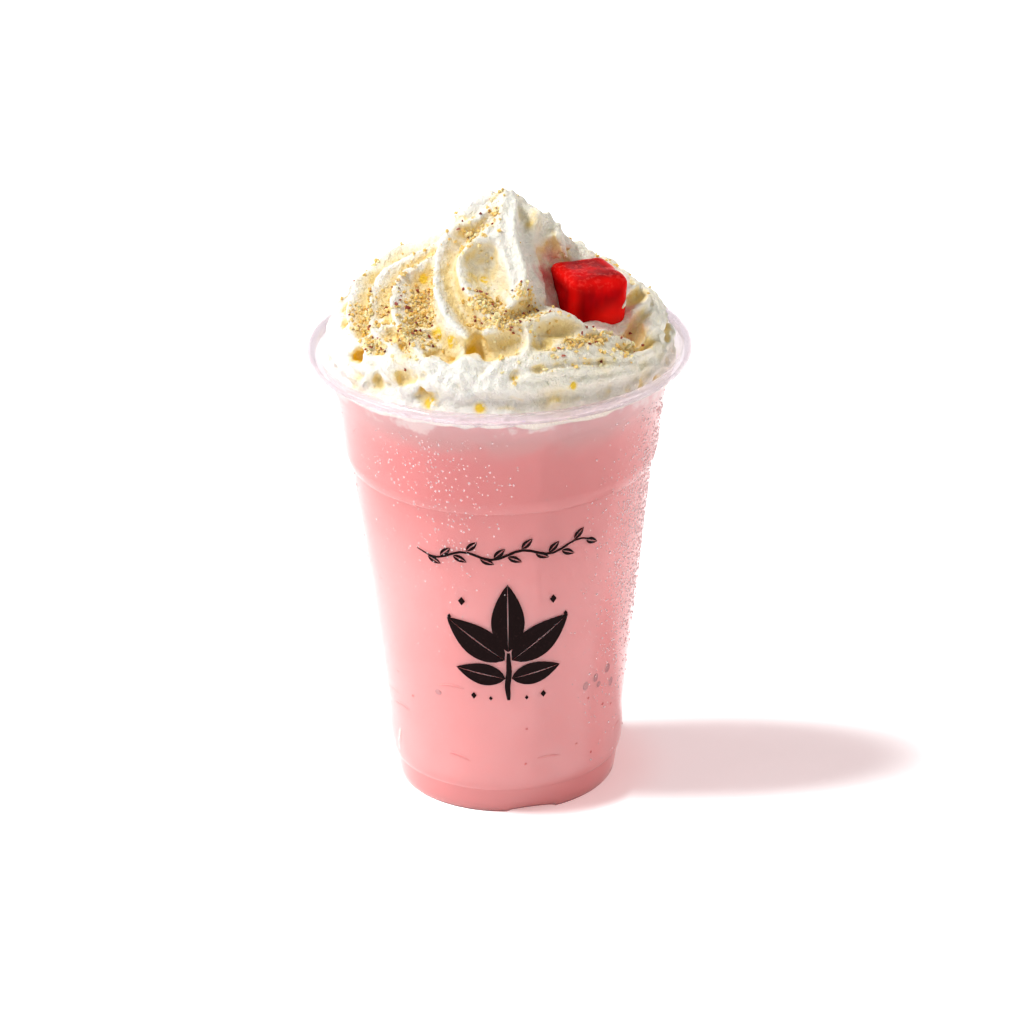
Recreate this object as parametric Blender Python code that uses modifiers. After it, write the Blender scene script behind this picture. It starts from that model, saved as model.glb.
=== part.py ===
"""A falooda in its clear takeaway cup: a thin turned cup with a rolled lip, the milk drink that fills it,
a piped swirl of whipped cream with chopped nuts, and one jelly cube sitting in the cream.

The origin is the middle of the foot's ring, which rests on z = 0. Metres, +Z up, the shown side faces -Y.
Azimuths are in degrees from +X, turning left seen from above, so 270 is the front.
"""

import math
import random

import bmesh
import bpy
from mathutils import Matrix, Vector
from mathutils.bvhtree import BVHTree

MM = 0.001
GAP = 0.3  # between two pieces that touch, in millimetres as all sizes below

# Cup: the outer radius at each height of the wall, and the lip's roll
CUP_HEIGHT = 121.0
RIM_RADIUS = 49.0
LIP_ROLL = 1.45
LIP_NECK_RADIUS = 45.7
LIP_NECK_HEIGHT = 118.4
WALL = 0.6
SIDES = 56
FOOT_RADIUS = 28.6
FOOT_ROUND = 0.5
FOOT_RING = 1.5
RECESS = 1.6  # how high the base stands inside the foot ring
RECESS_RADIUS = 26.2
BAND_HEIGHT = 7.1
BAND_RADIUS = 29.6
WAIST_HEIGHT = 20.0
WAIST_RADIUS = 31.1
SHOULDER_HEIGHT = 89.6
SHOULDER_RADIUS = 38.7
SHOULDER_STEP = 1.55
SHOULDER_RISE = 4.4
NECK_HEIGHT = 109.0
NECK_RADIUS = 42.1
FLARE_HEIGHT = 114.0
FLARE_RADIUS = 44.1
NOTCHES = 3  # shallow scallops in the foot ring
NOTCH_AZIMUTH = 283.0
NOTCH_SPREAD = 11.0
NOTCH_RISE = 1.1
FLOOR = RECESS + WALL
INSET = WALL + 1.3 * GAP  # keeps the fillings' flat sides clear of the wall's

# Fillings
DRINK_TOP = 112.0
CREAM_BOTTOM = DRINK_TOP + GAP
CREAM_EDGE = 45.5  # the cream's greatest radius, just inside the lip
CLEAR_OF_PEAK = 175.0
JELLY_SIDE = 16.3
JELLY_ROUND = 1.7
JELLY_PLACE = (22.1, -9.0, 135.5)
JELLY_TURN = (3.0, 4.0, 26.0)  # degrees about X, Y and Z

# The cream's mound, as its radius and height down from the peak, without the piped folds
MOUND = ((2, 157), (6, 152), (10, 147), (14, 142.5), (20, 137.5), (26, 133), (32, 129.5), (37.5, 126),
         (41.5, 122.5), (44.6, 119), (44.6, 114))
CREAM_VOXEL = 1.1
CREAM_FACES = 5200

# Each piped fold runs down the mound: azimuth, radius and height of its crest, and how thick it is there
FOLDS = {
    "peak_front": ((300, 1, 163.3, 2.2), (279, 6.5, 160, 5), (274, 12.8, 155.8, 7),
                   (278, 17, 151.5, 7.5), (281, 22.5, 147.2, 7), (278, 27, 143.8, 6),
                   (272, 30, 141, 4)),
    "peak_edge": ((330, 3, 162.5, 2.5), (300, 8, 159.8, 3.5), (288, 12.9, 156.8, 4),
                  (288, 16.5, 153, 4.2), (288, 20.5, 149.2, 4.2), (285, 25, 145.7, 4),
                  (277, 28.5, 143, 3.5)),
    "peak_right": ((40, 3, 161.5, 3), (15, 7, 160.2, 4.5), (2, 11, 157.8, 5), (355, 14.8, 155.2, 5),
                   (347, 17.5, 151, 4.6), (343, 20, 148, 3)),
    "left_crest": ((245, 5, 158.8, 2), (232, 9, 157, 3.2), (217, 13, 155.7, 4.2), (213, 14.6, 154, 4.4),
                   (211.5, 17, 151, 4.6), (221, 20.8, 147.8, 4.6), (230, 24.8, 145.5, 4.6),
                   (238, 28.7, 143, 4.6), (244, 31.5, 141, 4.5), (251, 34.2, 138.6, 4),
                   (258, 36, 136.5, 3)),
    "hollow_lip": ((262, 10, 156.5, 2.5), (248, 14.7, 153.7, 3.4), (241, 16.5, 151.9, 3.8),
                   (238, 18.7, 149.6, 4.2), (243, 21.8, 147.4, 4.6), (252, 25.8, 145, 4.8),
                   (260, 29.2, 142.7, 4.8), (267, 32.2, 140.5, 4.5), (273, 34.5, 138.5, 3.5)),
    "left_sweep": ((222, 10, 156.5, 3), (213, 14.5, 154, 4), (203, 18, 150, 4.8),
                   (194, 22.7, 146.8, 5.4), (190, 27, 144.4, 5.8), (191, 30.5, 142.2, 6),
                   (197, 33.5, 139.6, 6), (206, 36, 137.2, 5.6), (216, 39, 134, 5),
                   (227, 40.6, 131.6, 4.6), (240, 41.5, 129.5, 3.5)),
    "left_inner": ((211, 18.5, 148.5, 3.6), (207, 22.4, 146.2, 4.6), (203, 26, 144.2, 5),
                   (209, 30.3, 141.5, 5), (220, 34.5, 138.2, 4.6), (231, 37.5, 135, 4),
                   (241, 39.5, 132, 3)),
    "back_left": ((178, 9, 154.5, 3.5), (166, 16, 149.5, 4.8), (157, 22, 147, 5.4), (158, 27, 145, 6),
                  (165, 31, 142.6, 6.2), (174, 34.5, 140, 6), (184, 37, 137.5, 5.6),
                  (195, 39.5, 134.5, 5), (206, 41.5, 131, 4)),
    "left_rim": ((150, 38, 134, 4.5), (165, 40.5, 133, 5.2), (180, 41.5, 131.5, 5.4), (191, 43, 128, 5),
                 (200, 43.8, 125.5, 4.6), (211, 44, 125, 4.2), (223, 43.5, 126, 3.6)),
    "left_low": ((166, 43.3, 127, 3.4), (182, 44, 125.5, 4), (194, 44.3, 123, 4),
                 (208, 44.3, 122.5, 3.6)),
    "front_band": ((215, 42.5, 128, 3), (228, 42, 129.8, 4.2), (241, 41.6, 130.4, 4.4),
                   (249, 42.5, 128.2, 4.4), (258, 42.2, 129, 4.2), (268, 42.8, 127.7, 4),
                   (280, 43.4, 126, 3.4)),
    "ledge": ((262, 34.5, 137, 2.6), (270, 34, 139, 3.8), (282, 33.7, 139.3, 4.2),
              (293, 32.3, 140.3, 4.6), (301, 32.8, 139.6, 4.8), (309, 35.4, 136.8, 4.6),
              (316, 38, 133.8, 4.2), (326, 40.5, 130.5, 3.6)),
    "ledge_turn": ((279, 32.5, 139.3, 3), (282, 35.5, 137.4, 3.2), (281, 38, 134.9, 3.2),
                   (278, 39.8, 132.7, 2.6)),
    "right_sweep": ((262, 40, 129.5, 2.6), (271, 39.8, 132.2, 4), (284, 39.6, 132.9, 4.8),
                    (296, 39.6, 132.9, 5), (305, 39.8, 132.3, 5), (314, 41.5, 129.8, 4.6),
                    (322, 43.2, 127.2, 4), (334, 43.8, 125.5, 3.4)),
    "right_shelf": ((290, 37.5, 134.5, 3), (299, 38, 134.5, 4), (310, 38.8, 133.9, 4.4),
                    (322, 39.6, 133.1, 4.6), (336, 40.5, 132, 4.6), (350, 41.5, 130.5, 4),
                    (364, 42.5, 128.5, 3.5)),
    "front_low": ((262, 43.2, 126, 3), (275, 43.6, 126.2, 3.8), (290, 43.7, 126, 4),
                  (305, 44, 125.2, 4.2), (318, 44.2, 124.2, 4), (332, 44.3, 123.5, 3.6)),
    "right_first": ((20, 22, 147.7, 3.5), (10, 27, 144.8, 4.4), (4, 32, 141, 4.8),
                    (0, 35.8, 137.8, 4.8), (350, 38.2, 135.3, 4.4), (341, 40, 132.5, 3.8)),
    "right_second": ((28, 26, 145.2, 3.5), (16, 31, 141.9, 4.4), (8, 35, 138.4, 4.6),
                     (2, 38.5, 134.9, 4.6), (-3, 41, 131.4, 4.2), (-9, 42.8, 128, 3.6)),
    "right_third": ((40, 30, 142, 3.8), (28, 34.5, 139, 4.4), (18, 38, 135.8, 4.4),
                    (10, 41, 131.8, 4.2), (4, 42.8, 128.5, 3.8)),
}
# The far side repeats one fold at a steady turn
FAR_FOLD = ((32, 5, 159.5, 2.5), (19, 9.3, 157.5, 3.6), (4, 13, 154.5, 4.4), (0, 15.5, 152, 5),
            (2, 19, 149, 5.4), (10, 24, 145.7, 5.6), (20, 29, 142.5, 5.6), (30, 33, 139, 5.4),
            (41, 37, 135, 5), (52, 40.5, 131, 4.6), (64, 42.8, 127.5, 4))
FAR_TURNS = (14, 44, 74, 104, 134)
# and a short fold lies along the lip between the ends of those
RIM_FOLD = ((0, 42.6, 125, 3), (14, 42.8, 127.5, 4.2), (28, 43.2, 127, 4.2), (42, 43.8, 124.5, 3))
RIM_TURNS = (8, 40, 72, 104, 134)

# Small torn lumps round the lip: how many, and their sizes
TEARS = 46
TEAR_SIZE = (1.4, 3.0)

# Chopped nuts: azimuth, radius, spread and number of each patch
NUT_PATCHES = ((226, 30, 3.4, 26), (210, 38.5, 2.6, 18), (266, 31, 2.6, 16), (285, 31, 2.2, 8),
               (240, 16, 7.0, 14), (300, 38, 3.0, 6), (60, 24, 9.0, 8))
NUT_SIZE = (0.9, 1.5)
NUT_SPACING = 2.2
NUT_FLOOR = 126.0  # none lies lower, next to the lip
SEED = 11


def millimetres(*values):
    return Vector(values) * MM


def on_mound(azimuth, radius, height):
    turn = math.radians(azimuth)
    return Vector((radius * math.cos(turn), radius * math.sin(turn), height))


def arc(centre, radius, start, end, steps):
    """Points of an arc in the profile plane, the angles in degrees from +X."""
    turns = [math.radians(start + (end - start) * i / steps) for i in range(steps + 1)]
    return [(centre[0] + radius * math.cos(a), centre[1] + radius * math.sin(a)) for a in turns]


def outer_wall():
    """The cup's outer side from under the lip to the top of the foot band, as radius and height."""
    flare = [(LIP_NECK_RADIUS, LIP_NECK_HEIGHT), (FLARE_RADIUS, FLARE_HEIGHT), (NECK_RADIUS, NECK_HEIGHT)]
    step, tuck = [], []
    for i in range(5):
        share = 0.5 + 0.5 * math.cos(math.pi * i / 4)
        step.append((SHOULDER_RADIUS + SHOULDER_STEP * share, SHOULDER_HEIGHT + SHOULDER_RISE * (1 - i / 4)))
    for t in (1.0, 0.7, 0.45, 0.22):
        share = math.sin(math.pi / 2 * t)
        height = BAND_HEIGHT + (WAIST_HEIGHT - BAND_HEIGHT) * t ** 2
        tuck.append((BAND_RADIUS + (WAIST_RADIUS - BAND_RADIUS) * share, height))
    return [*flare, *step, *tuck]


def wall_radius(height, inset=WALL):
    """The radius of the wall at a height, moved in by the wall or by more."""
    points = [*outer_wall(), (BAND_RADIUS, BAND_HEIGHT), (FOOT_RADIUS, 0.0)]
    for (r1, z1), (r2, z2) in zip(points, points[1:]):
        if z2 <= height <= z1:
            return r2 + (r1 - r2) * (height - z2) / (z1 - z2) - inset
    return points[0][0] - inset


def turned(name, profile, collection, sides=SIDES):
    """A solid turned about Z. The profile runs down the outer side and ends on the axis at both ends."""
    mesh = bpy.data.meshes.new(name)
    points = [(r * MM, 0.0, z * MM) for r, z in profile]
    mesh.from_pydata(points, [(i, i + 1) for i in range(len(points) - 1)], [])
    piece = bpy.data.objects.new(name, mesh)
    collection.objects.link(piece)
    screw = piece.modifiers.new("turn", "SCREW")
    screw.steps = screw.render_steps = sides
    screw.use_merge_vertices = True
    screw.merge_threshold = 0.00001
    return piece


def made_mesh(piece, name, collection):
    """Replaces an object by a plain mesh of what its modifiers or its curve make."""
    bpy.context.view_layer.update()
    mesh = bpy.data.meshes.new_from_object(piece.evaluated_get(bpy.context.evaluated_depsgraph_get()))
    mesh.transform(piece.matrix_world)
    bm = bmesh.new()
    bm.from_mesh(mesh)
    bmesh.ops.remove_doubles(bm, verts=bm.verts, dist=0.00001)
    bm.to_mesh(mesh)
    bm.free()
    bpy.data.objects.remove(piece)
    made = bpy.data.objects.new(name, mesh)
    collection.objects.link(made)
    return made


def shade(piece, name, colour, roughness, transmission=0.0, alpha=1.0):
    material = bpy.data.materials.new(name)
    material.use_nodes = True
    surface = material.node_tree.nodes["Principled BSDF"]
    surface.inputs["Base Color"].default_value = (*colour, 1.0)
    surface.inputs["Roughness"].default_value = roughness
    surface.inputs["Metallic"].default_value = 0.0
    surface.inputs["Transmission Weight"].default_value = transmission
    surface.inputs["Alpha"].default_value = alpha
    piece.data.materials.clear()
    piece.data.materials.append(material)
    piece.data.shade_smooth()
    piece.data.set_sharp_from_angle(angle=math.radians(35))


def make_cup(collection):
    """One thin wall: up the inside, over the lip's roll, down the outside and under the raised base."""
    outside = outer_wall()
    inside = [(r - WALL, z) for r, z in reversed(outside)]
    lip = arc((RIM_RADIUS - LIP_ROLL, CUP_HEIGHT - LIP_ROLL), LIP_ROLL, 200, -110, 8)
    band = [(BAND_RADIUS, BAND_HEIGHT), (FOOT_RADIUS, FOOT_ROUND), (FOOT_RADIUS - FOOT_ROUND, 0.0)]
    base = [(FOOT_RADIUS - FOOT_RING, 0.0), (RECESS_RADIUS, RECESS), (0.0, RECESS)]
    inner_foot = [(0.0, FLOOR), (RECESS_RADIUS, FLOOR), (BAND_RADIUS - WALL, BAND_HEIGHT)]
    profile = inner_foot + inside + lip + outside + band + base
    cup = made_mesh(turned("cup_turned", profile, collection), "cup", collection)
    for vertex in cup.data.vertices:
        x, y, z = vertex.co / MM
        for k in range(NOTCHES):
            off = (math.degrees(math.atan2(y, x)) - NOTCH_AZIMUTH - 360 * k / NOTCHES + 540) % 360 - 180
            on_ring = z <= FOOT_ROUND + GAP and math.hypot(x, y) > RECESS_RADIUS + GAP
            if on_ring and abs(off) < NOTCH_SPREAD:
                vertex.co.z += NOTCH_RISE * MM * math.cos(math.pi / 2 * off / NOTCH_SPREAD) ** 2
    shade(cup, "clear_plastic", (0.93, 0.95, 0.95), 0.05, transmission=1.0, alpha=0.35)


def make_drink(collection):
    """The milk up to the cream, clear of the wall all round."""
    shoulder = [SHOULDER_HEIGHT + SHOULDER_RISE * share for share in (1.0, 0.5, 0.0)]
    tuck = [BAND_HEIGHT + (WAIST_HEIGHT - BAND_HEIGHT) * share for share in (1.0, 0.45, 0.15)]
    side = [(wall_radius(z, INSET), z) for z in (DRINK_TOP, NECK_HEIGHT, *shoulder, *tuck)]
    profile = [(0.0, DRINK_TOP), *side, (RECESS_RADIUS - GAP, FLOOR + GAP), (0.0, FLOOR + GAP)]
    drink = made_mesh(turned("drink_turned", profile, collection), "drink", collection)
    shade(drink, "pink_milk", (0.84, 0.36, 0.37), 0.4)


def hermite(a, b, c, d, t):
    """The value a share t of the way from b to c, on a smooth curve that also passes a and d."""
    square = (2 * a - 5 * b + 4 * c - d) * t ** 2
    cube = (3 * b - a - 3 * c + d) * t ** 3
    return 0.5 * (2 * b + (c - a) * t + square + cube)


def smooth_through(stations, step):
    """Stations every step along one smooth curve through those given."""
    ends = [stations[0], *stations, stations[-1]]
    found = []
    for before, start, end, after in zip(ends, ends[1:], ends[2:], ends[3:]):
        pieces = max(2, round((on_mound(*end[:3]) - on_mound(*start[:3])).length / step))
        for i in range(pieces):
            t = i / pieces
            found.append([hermite(*values, t) for values in zip(before, start, end, after)])
    return [*found, list(stations[-1])]


def mound_normal(point):
    """The way out of the mound at a point: up at the peak, outwards at the lip."""
    slope = math.radians(min(80.0, 12.0 + 1.45 * math.hypot(point.x, point.y)))
    around = math.atan2(point.y, point.x)
    return Vector((math.sin(slope) * math.cos(around), math.sin(slope) * math.sin(around), math.cos(slope)))


def fold_section(collection):
    """A drop-shaped outline, narrow end up and two units deep, which each fold carries along its crest."""
    section = bpy.data.curves.new("fold_section", "CURVE")
    section.dimensions = "2D"
    spline = section.splines.new("POLY")
    turns = [2 * math.pi * i / 12 for i in range(12)]
    outline = [(0.62 * math.sin(a) * (1 - 0.35 * math.cos(a)), math.cos(a) - 1.0) for a in turns]
    spline.points.add(len(outline) - 1)
    for point, (x, y) in zip(spline.points, outline):
        point.co = (x, y, 0.0, 1.0)
    spline.use_cyclic_u = True
    guide = bpy.data.objects.new("fold_section", section)
    collection.objects.link(guide)
    return guide


def make_fold(name, stations, section, collection):
    """One piped fold: the section swept along the fold's crest, upright on the mound."""
    points = smooth_through(stations, 2.2)
    places = [on_mound(*p[:3]) for p in points]
    curve = bpy.data.curves.new(name, "CURVE")
    curve.dimensions = "3D"
    curve.twist_mode = "Z_UP"
    curve.bevel_mode = "OBJECT"
    curve.bevel_object = section
    curve.use_fill_caps = True
    spline = curve.splines.new("POLY")
    spline.points.add(len(points) - 1)
    last = len(points) - 1
    for i, (place, station) in enumerate(zip(places, points)):
        along = (places[min(i + 1, last)] - places[max(i - 1, 0)]).normalized()
        out = mound_normal(place)
        out = (out - out.dot(along) * along).normalized()
        up = (Vector((0, 0, 1)) - along.z * along).normalized()
        spline.points[i].co = (*(place * MM), 1.0)
        spline.points[i].radius = station[3] * MM
        spline.points[i].tilt = math.atan2(up.cross(out).dot(along), up.dot(out))
    fold = bpy.data.objects.new(name, curve)
    collection.objects.link(fold)
    return made_mesh(fold, name, collection)


def add_boolean(piece, operation, solver, cutter=None, group=None):
    cut = piece.modifiers.new(operation.lower(), "BOOLEAN")
    cut.operation = operation
    cut.solver = solver
    if group is None:
        cut.object = cutter
    else:
        cut.operand_type = "COLLECTION"
        cut.collection = group


def largest_shell(piece):
    """Drops loose scraps and closed bubbles, which a remeshed heap of folds can leave."""
    bm = bmesh.new()
    bm.from_mesh(piece.data)
    unseen = set(bm.faces)
    shells = []
    while unseen:
        reached = {unseen.pop()}
        edge = list(reached)
        while edge:
            near = {other for face in edge for e in face.edges for other in e.link_faces} & unseen
            unseen -= near
            reached |= near
            edge = list(near)
        shells.append(reached)
    shells.sort(key=len)
    scraps = [face for shell in shells[:-1] for face in shell]
    bmesh.ops.delete(bm, geom=scraps, context="FACES")
    bm.to_mesh(piece.data)
    bm.free()


def make_cream(collection, guides):
    """The mound and its folds made one skin, cut to the cup's mouth, with a seat for the jelly."""
    section = fold_section(guides)
    heap = bmesh.new()
    peak = [(0.0, MOUND[0][1] + 1.0)]
    core = made_mesh(turned("core", [*peak, *MOUND, (44.0, 108.0), (0.0, 108.0)], guides), "core", guides)
    folds = dict(FOLDS)
    for repeated, turns in ((FAR_FOLD, FAR_TURNS), (RIM_FOLD, RIM_TURNS)):
        for turn in turns:
            folds[f"far_{len(folds)}"] = [(azimuth + turn, *rest) for azimuth, *rest in repeated]
    swept = [make_fold(name, stations, section, guides) for name, stations in folds.items()]
    for piece in (core, *swept):
        heap.from_mesh(piece.data)
        bpy.data.objects.remove(piece)
    bpy.data.objects.remove(section)
    rng = random.Random(SEED)
    for _ in range(TEARS):
        place = on_mound(rng.uniform(0, 360), rng.uniform(41.5, 44.0), rng.uniform(121.0, 128.0))
        sizes = Matrix.Diagonal([rng.uniform(*TEAR_SIZE) for _ in range(3)]).to_4x4()
        lump = Matrix.Scale(MM, 4) @ Matrix.Translation(place) @ sizes
        bmesh.ops.create_icosphere(heap, subdivisions=2, radius=1.0, matrix=lump)
    mesh = bpy.data.meshes.new("cream")
    heap.to_mesh(mesh)
    heap.free()
    cream = bpy.data.objects.new("cream", mesh)
    collection.objects.link(cream)
    remesh = cream.modifiers.new("skin", "REMESH")
    remesh.mode = "VOXEL"
    remesh.voxel_size = CREAM_VOXEL * MM
    soften = cream.modifiers.new("soften", "SMOOTH")
    soften.factor = 0.5
    soften.iterations = 2
    cream = made_mesh(cream, "cream", collection)
    largest_shell(cream)
    thin = cream.modifiers.new("thin", "DECIMATE")
    thin.ratio = min(1.0, CREAM_FACES / (2 * len(cream.data.polygons)))
    cream = made_mesh(cream, "cream", collection)
    wall = [(wall_radius(z, INSET), z) for z in (LIP_NECK_HEIGHT - 0.1, FLARE_HEIGHT, CREAM_BOTTOM)]
    above = [(0.0, CLEAR_OF_PEAK), (CREAM_EDGE, CLEAR_OF_PEAK), (CREAM_EDGE, CUP_HEIGHT - 1.0)]
    mouth = made_mesh(turned("mouth", [*above, *wall, (0.0, CREAM_BOTTOM)], guides), "mouth", guides)
    add_boolean(cream, "INTERSECT", "MANIFOLD", mouth)
    add_boolean(cream, "DIFFERENCE", "MANIFOLD", jelly_block("seat", guides, GAP))
    cream = made_mesh(cream, "cream", collection)
    largest_shell(cream)
    return cream


def add_nuts(cream, collection):
    """Chopped nuts fused to the cream where it carries them, in patches and a light scatter."""
    rng = random.Random(SEED)
    skin = bmesh.new()
    skin.from_mesh(cream.data)
    tree = BVHTree.FromBMesh(skin)
    skin.free()
    nuts = bpy.data.collections.new("nuts")
    bpy.context.scene.collection.children.link(nuts)
    heap = []
    for azimuth, radius, spread, count in NUT_PATCHES:
        middle = on_mound(azimuth, radius, 0)
        for _ in range(count):
            size = rng.uniform(*NUT_SIZE)
            x, y = rng.gauss(middle.x, spread), rng.gauss(middle.y, spread)
            spin = Matrix.Rotation(rng.uniform(0, math.pi), 4, Vector((rng.random(), rng.random(), 1.0)))
            stretch = Matrix.Diagonal((size, size * rng.uniform(0.6, 1.0), size * rng.uniform(0.55, 0.8)))
            hit = tree.ray_cast(millimetres(x, y, CLEAR_OF_PEAK), Vector((0, 0, -1)))[0]
            if hit is None or hit.z < NUT_FLOOR * MM or (hit / MM - Vector(JELLY_PLACE)).length < JELLY_SIDE:
                continue
            if any((hit - other).length < NUT_SPACING * MM for other in heap):
                continue
            heap.append(hit)
            bm = bmesh.new()
            place = Matrix.Translation(hit) @ spin @ (stretch * MM).to_4x4()
            bmesh.ops.create_icosphere(bm, subdivisions=1, radius=1.0, matrix=place)
            mesh = bpy.data.meshes.new("nut")
            bm.to_mesh(mesh)
            bm.free()
            nuts.objects.link(bpy.data.objects.new("nut", mesh))
    add_boolean(cream, "UNION", "MANIFOLD", group=nuts)
    cream = made_mesh(cream, "cream", collection)
    for nut in list(nuts.objects):
        bpy.data.objects.remove(nut)
    bpy.data.collections.remove(nuts)
    shade(cream, "whipped_cream", (0.93, 0.88, 0.74), 0.55)


def jelly_block(name, collection, grow=0.0):
    """The jelly's cube with rounded edges, or its seat when it is grown by the gap."""
    bm = bmesh.new()
    bmesh.ops.create_cube(bm, size=(JELLY_SIDE + 2 * grow) * MM)
    turn = Matrix.Translation(millimetres(*JELLY_PLACE))
    for angle, axis in zip(reversed(JELLY_TURN), "ZYX"):
        turn = turn @ Matrix.Rotation(math.radians(angle), 4, axis)
    bmesh.ops.transform(bm, matrix=turn, verts=bm.verts)
    mesh = bpy.data.meshes.new(name)
    bm.to_mesh(mesh)
    bm.free()
    block = bpy.data.objects.new(name, mesh)
    collection.objects.link(block)
    rounding = block.modifiers.new("rounding", "BEVEL")
    rounding.width = (JELLY_ROUND + grow) * MM
    rounding.segments = 3
    rounding.limit_method = "NONE"
    return made_mesh(block, name, collection)


def make_jelly(collection):
    shade(jelly_block("jelly", collection), "red_jelly", (0.6, 0.0, 0.005), 0.2, transmission=0.3)


def clear_scene():
    for leftover in list(bpy.data.objects):
        bpy.data.objects.remove(leftover)


def main():
    clear_scene()
    parts = bpy.data.collections.new("falooda")
    guides = bpy.data.collections.new("guides")
    for collection in (parts, guides):
        bpy.context.scene.collection.children.link(collection)
    make_cup(parts)
    make_drink(parts)
    make_jelly(parts)
    add_nuts(make_cream(parts, guides), parts)
    for guide in list(guides.objects):
        guide.hide_render = True
        guide.display_type = "WIRE"


main()
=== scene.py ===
# Falooda: the looks of the cup, the pink milk, the whipped cream with its nuts, and the jelly cube.
import math
import random

import bmesh
import bpy
import numpy as np
from mathutils import Matrix, Vector, noise
from mathutils.bvhtree import BVHTree
from mathutils.kdtree import KDTree


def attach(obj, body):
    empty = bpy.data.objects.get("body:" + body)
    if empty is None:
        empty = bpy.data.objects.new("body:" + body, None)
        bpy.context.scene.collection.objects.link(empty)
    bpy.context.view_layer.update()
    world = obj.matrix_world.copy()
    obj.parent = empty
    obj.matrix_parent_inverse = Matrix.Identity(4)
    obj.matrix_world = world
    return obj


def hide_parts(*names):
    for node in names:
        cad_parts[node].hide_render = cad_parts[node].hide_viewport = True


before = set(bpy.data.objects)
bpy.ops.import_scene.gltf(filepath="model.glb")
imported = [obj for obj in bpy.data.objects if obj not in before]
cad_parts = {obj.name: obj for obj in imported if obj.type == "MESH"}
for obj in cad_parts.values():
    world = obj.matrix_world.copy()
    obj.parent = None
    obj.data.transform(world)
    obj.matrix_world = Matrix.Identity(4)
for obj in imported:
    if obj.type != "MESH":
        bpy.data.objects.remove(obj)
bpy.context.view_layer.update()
mm = 0.001
upward = Vector((0.0, 0.0, 1.0))

# helpers for picking, joining and finishing pieces


def pick(*pieces):
    if bpy.context.object and bpy.context.object.mode != "OBJECT":
        bpy.ops.object.mode_set(mode="OBJECT")
    bpy.ops.object.select_all(action="DESELECT")
    for piece in pieces:
        piece.select_set(True)
    if pieces:
        bpy.context.view_layer.objects.active = pieces[0]


def startEdit(piece):
    pick(piece)
    bpy.ops.object.mode_set(mode="EDIT")
    bpy.ops.mesh.select_all(action="SELECT")


def endEdit():
    bpy.ops.object.mode_set(mode="OBJECT")


def applyModifiers(piece):
    pick(piece)
    for modifier in list(piece.modifiers):
        bpy.ops.object.modifier_apply(modifier=modifier.name)


def joinPieces(name, pieces):
    pick(*pieces)
    if len(pieces) > 1:
        bpy.ops.object.join()
    piece = bpy.context.object
    piece.name = piece.data.name = name
    return piece


def addModifier(piece, kind, **settings):
    modifier = piece.modifiers.new(kind.lower(), kind)
    for key, value in settings.items():
        setattr(modifier, key, value)
    return modifier


def reskin(piece, voxel, passes):
    addModifier(piece, "REMESH", mode="VOXEL", voxel_size=voxel * mm)
    addModifier(piece, "SMOOTH", factor=0.5, iterations=passes)


def roughen(piece, name, size, strength, depth=2, middle=0.5, group=""):
    texture = bpy.data.textures.new(name, "CLOUDS")
    texture.noise_scale = size * mm
    texture.noise_depth = depth
    addModifier(piece, "DISPLACE", texture=texture, texture_coords="LOCAL", strength=strength * mm,
                mid_level=middle, vertex_group=group)


def combine(piece, operation, cutter):
    addModifier(piece, "BOOLEAN", operation=operation, solver="MANIFOLD", object=cutter)
    applyModifiers(piece)
    bpy.data.objects.remove(cutter)


def largestShell(piece):
    # drops every loose scrap but the one with most points
    name = piece.name
    startEdit(piece)
    bpy.ops.mesh.separate(type="LOOSE")
    endEdit()
    shells = sorted(bpy.context.selected_objects, key=lambda part: len(part.data.vertices))
    for scrap in shells[:-1]:
        bpy.data.objects.remove(scrap)
    shells[-1].name = shells[-1].data.name = name
    return shells[-1]


def points(piece):
    found = np.empty(len(piece.data.vertices) * 3)
    piece.data.vertices.foreach_get("co", found)
    return found.reshape(-1, 3)


def movePoints(piece, places):
    piece.data.vertices.foreach_set("co", np.ascontiguousarray(places, dtype=float).ravel())
    piece.data.update()


def keepValues(piece, name, values):
    field = piece.data.attributes.get(name) or piece.data.attributes.new(name, "FLOAT", "POINT")
    field.data.foreach_set("value", np.ascontiguousarray(values, dtype=np.float32))


def fade(values, start, end):
    # 0 up to the start and 1 from the end on
    return np.clip((values - start) / (end - start), 0, 1)


def aroundCup(azimuth, radius, height):
    turn = math.radians(azimuth)
    return Vector((radius * math.cos(turn), radius * math.sin(turn), height))


def raiseEdges(rise):
    bpy.ops.mesh.extrude_edges_move(TRANSFORM_OT_translate={"value": (0, 0, rise)})


def closeAt(rise):
    raiseEdges(rise)
    bpy.ops.mesh.merge(type="CENTER")


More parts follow.
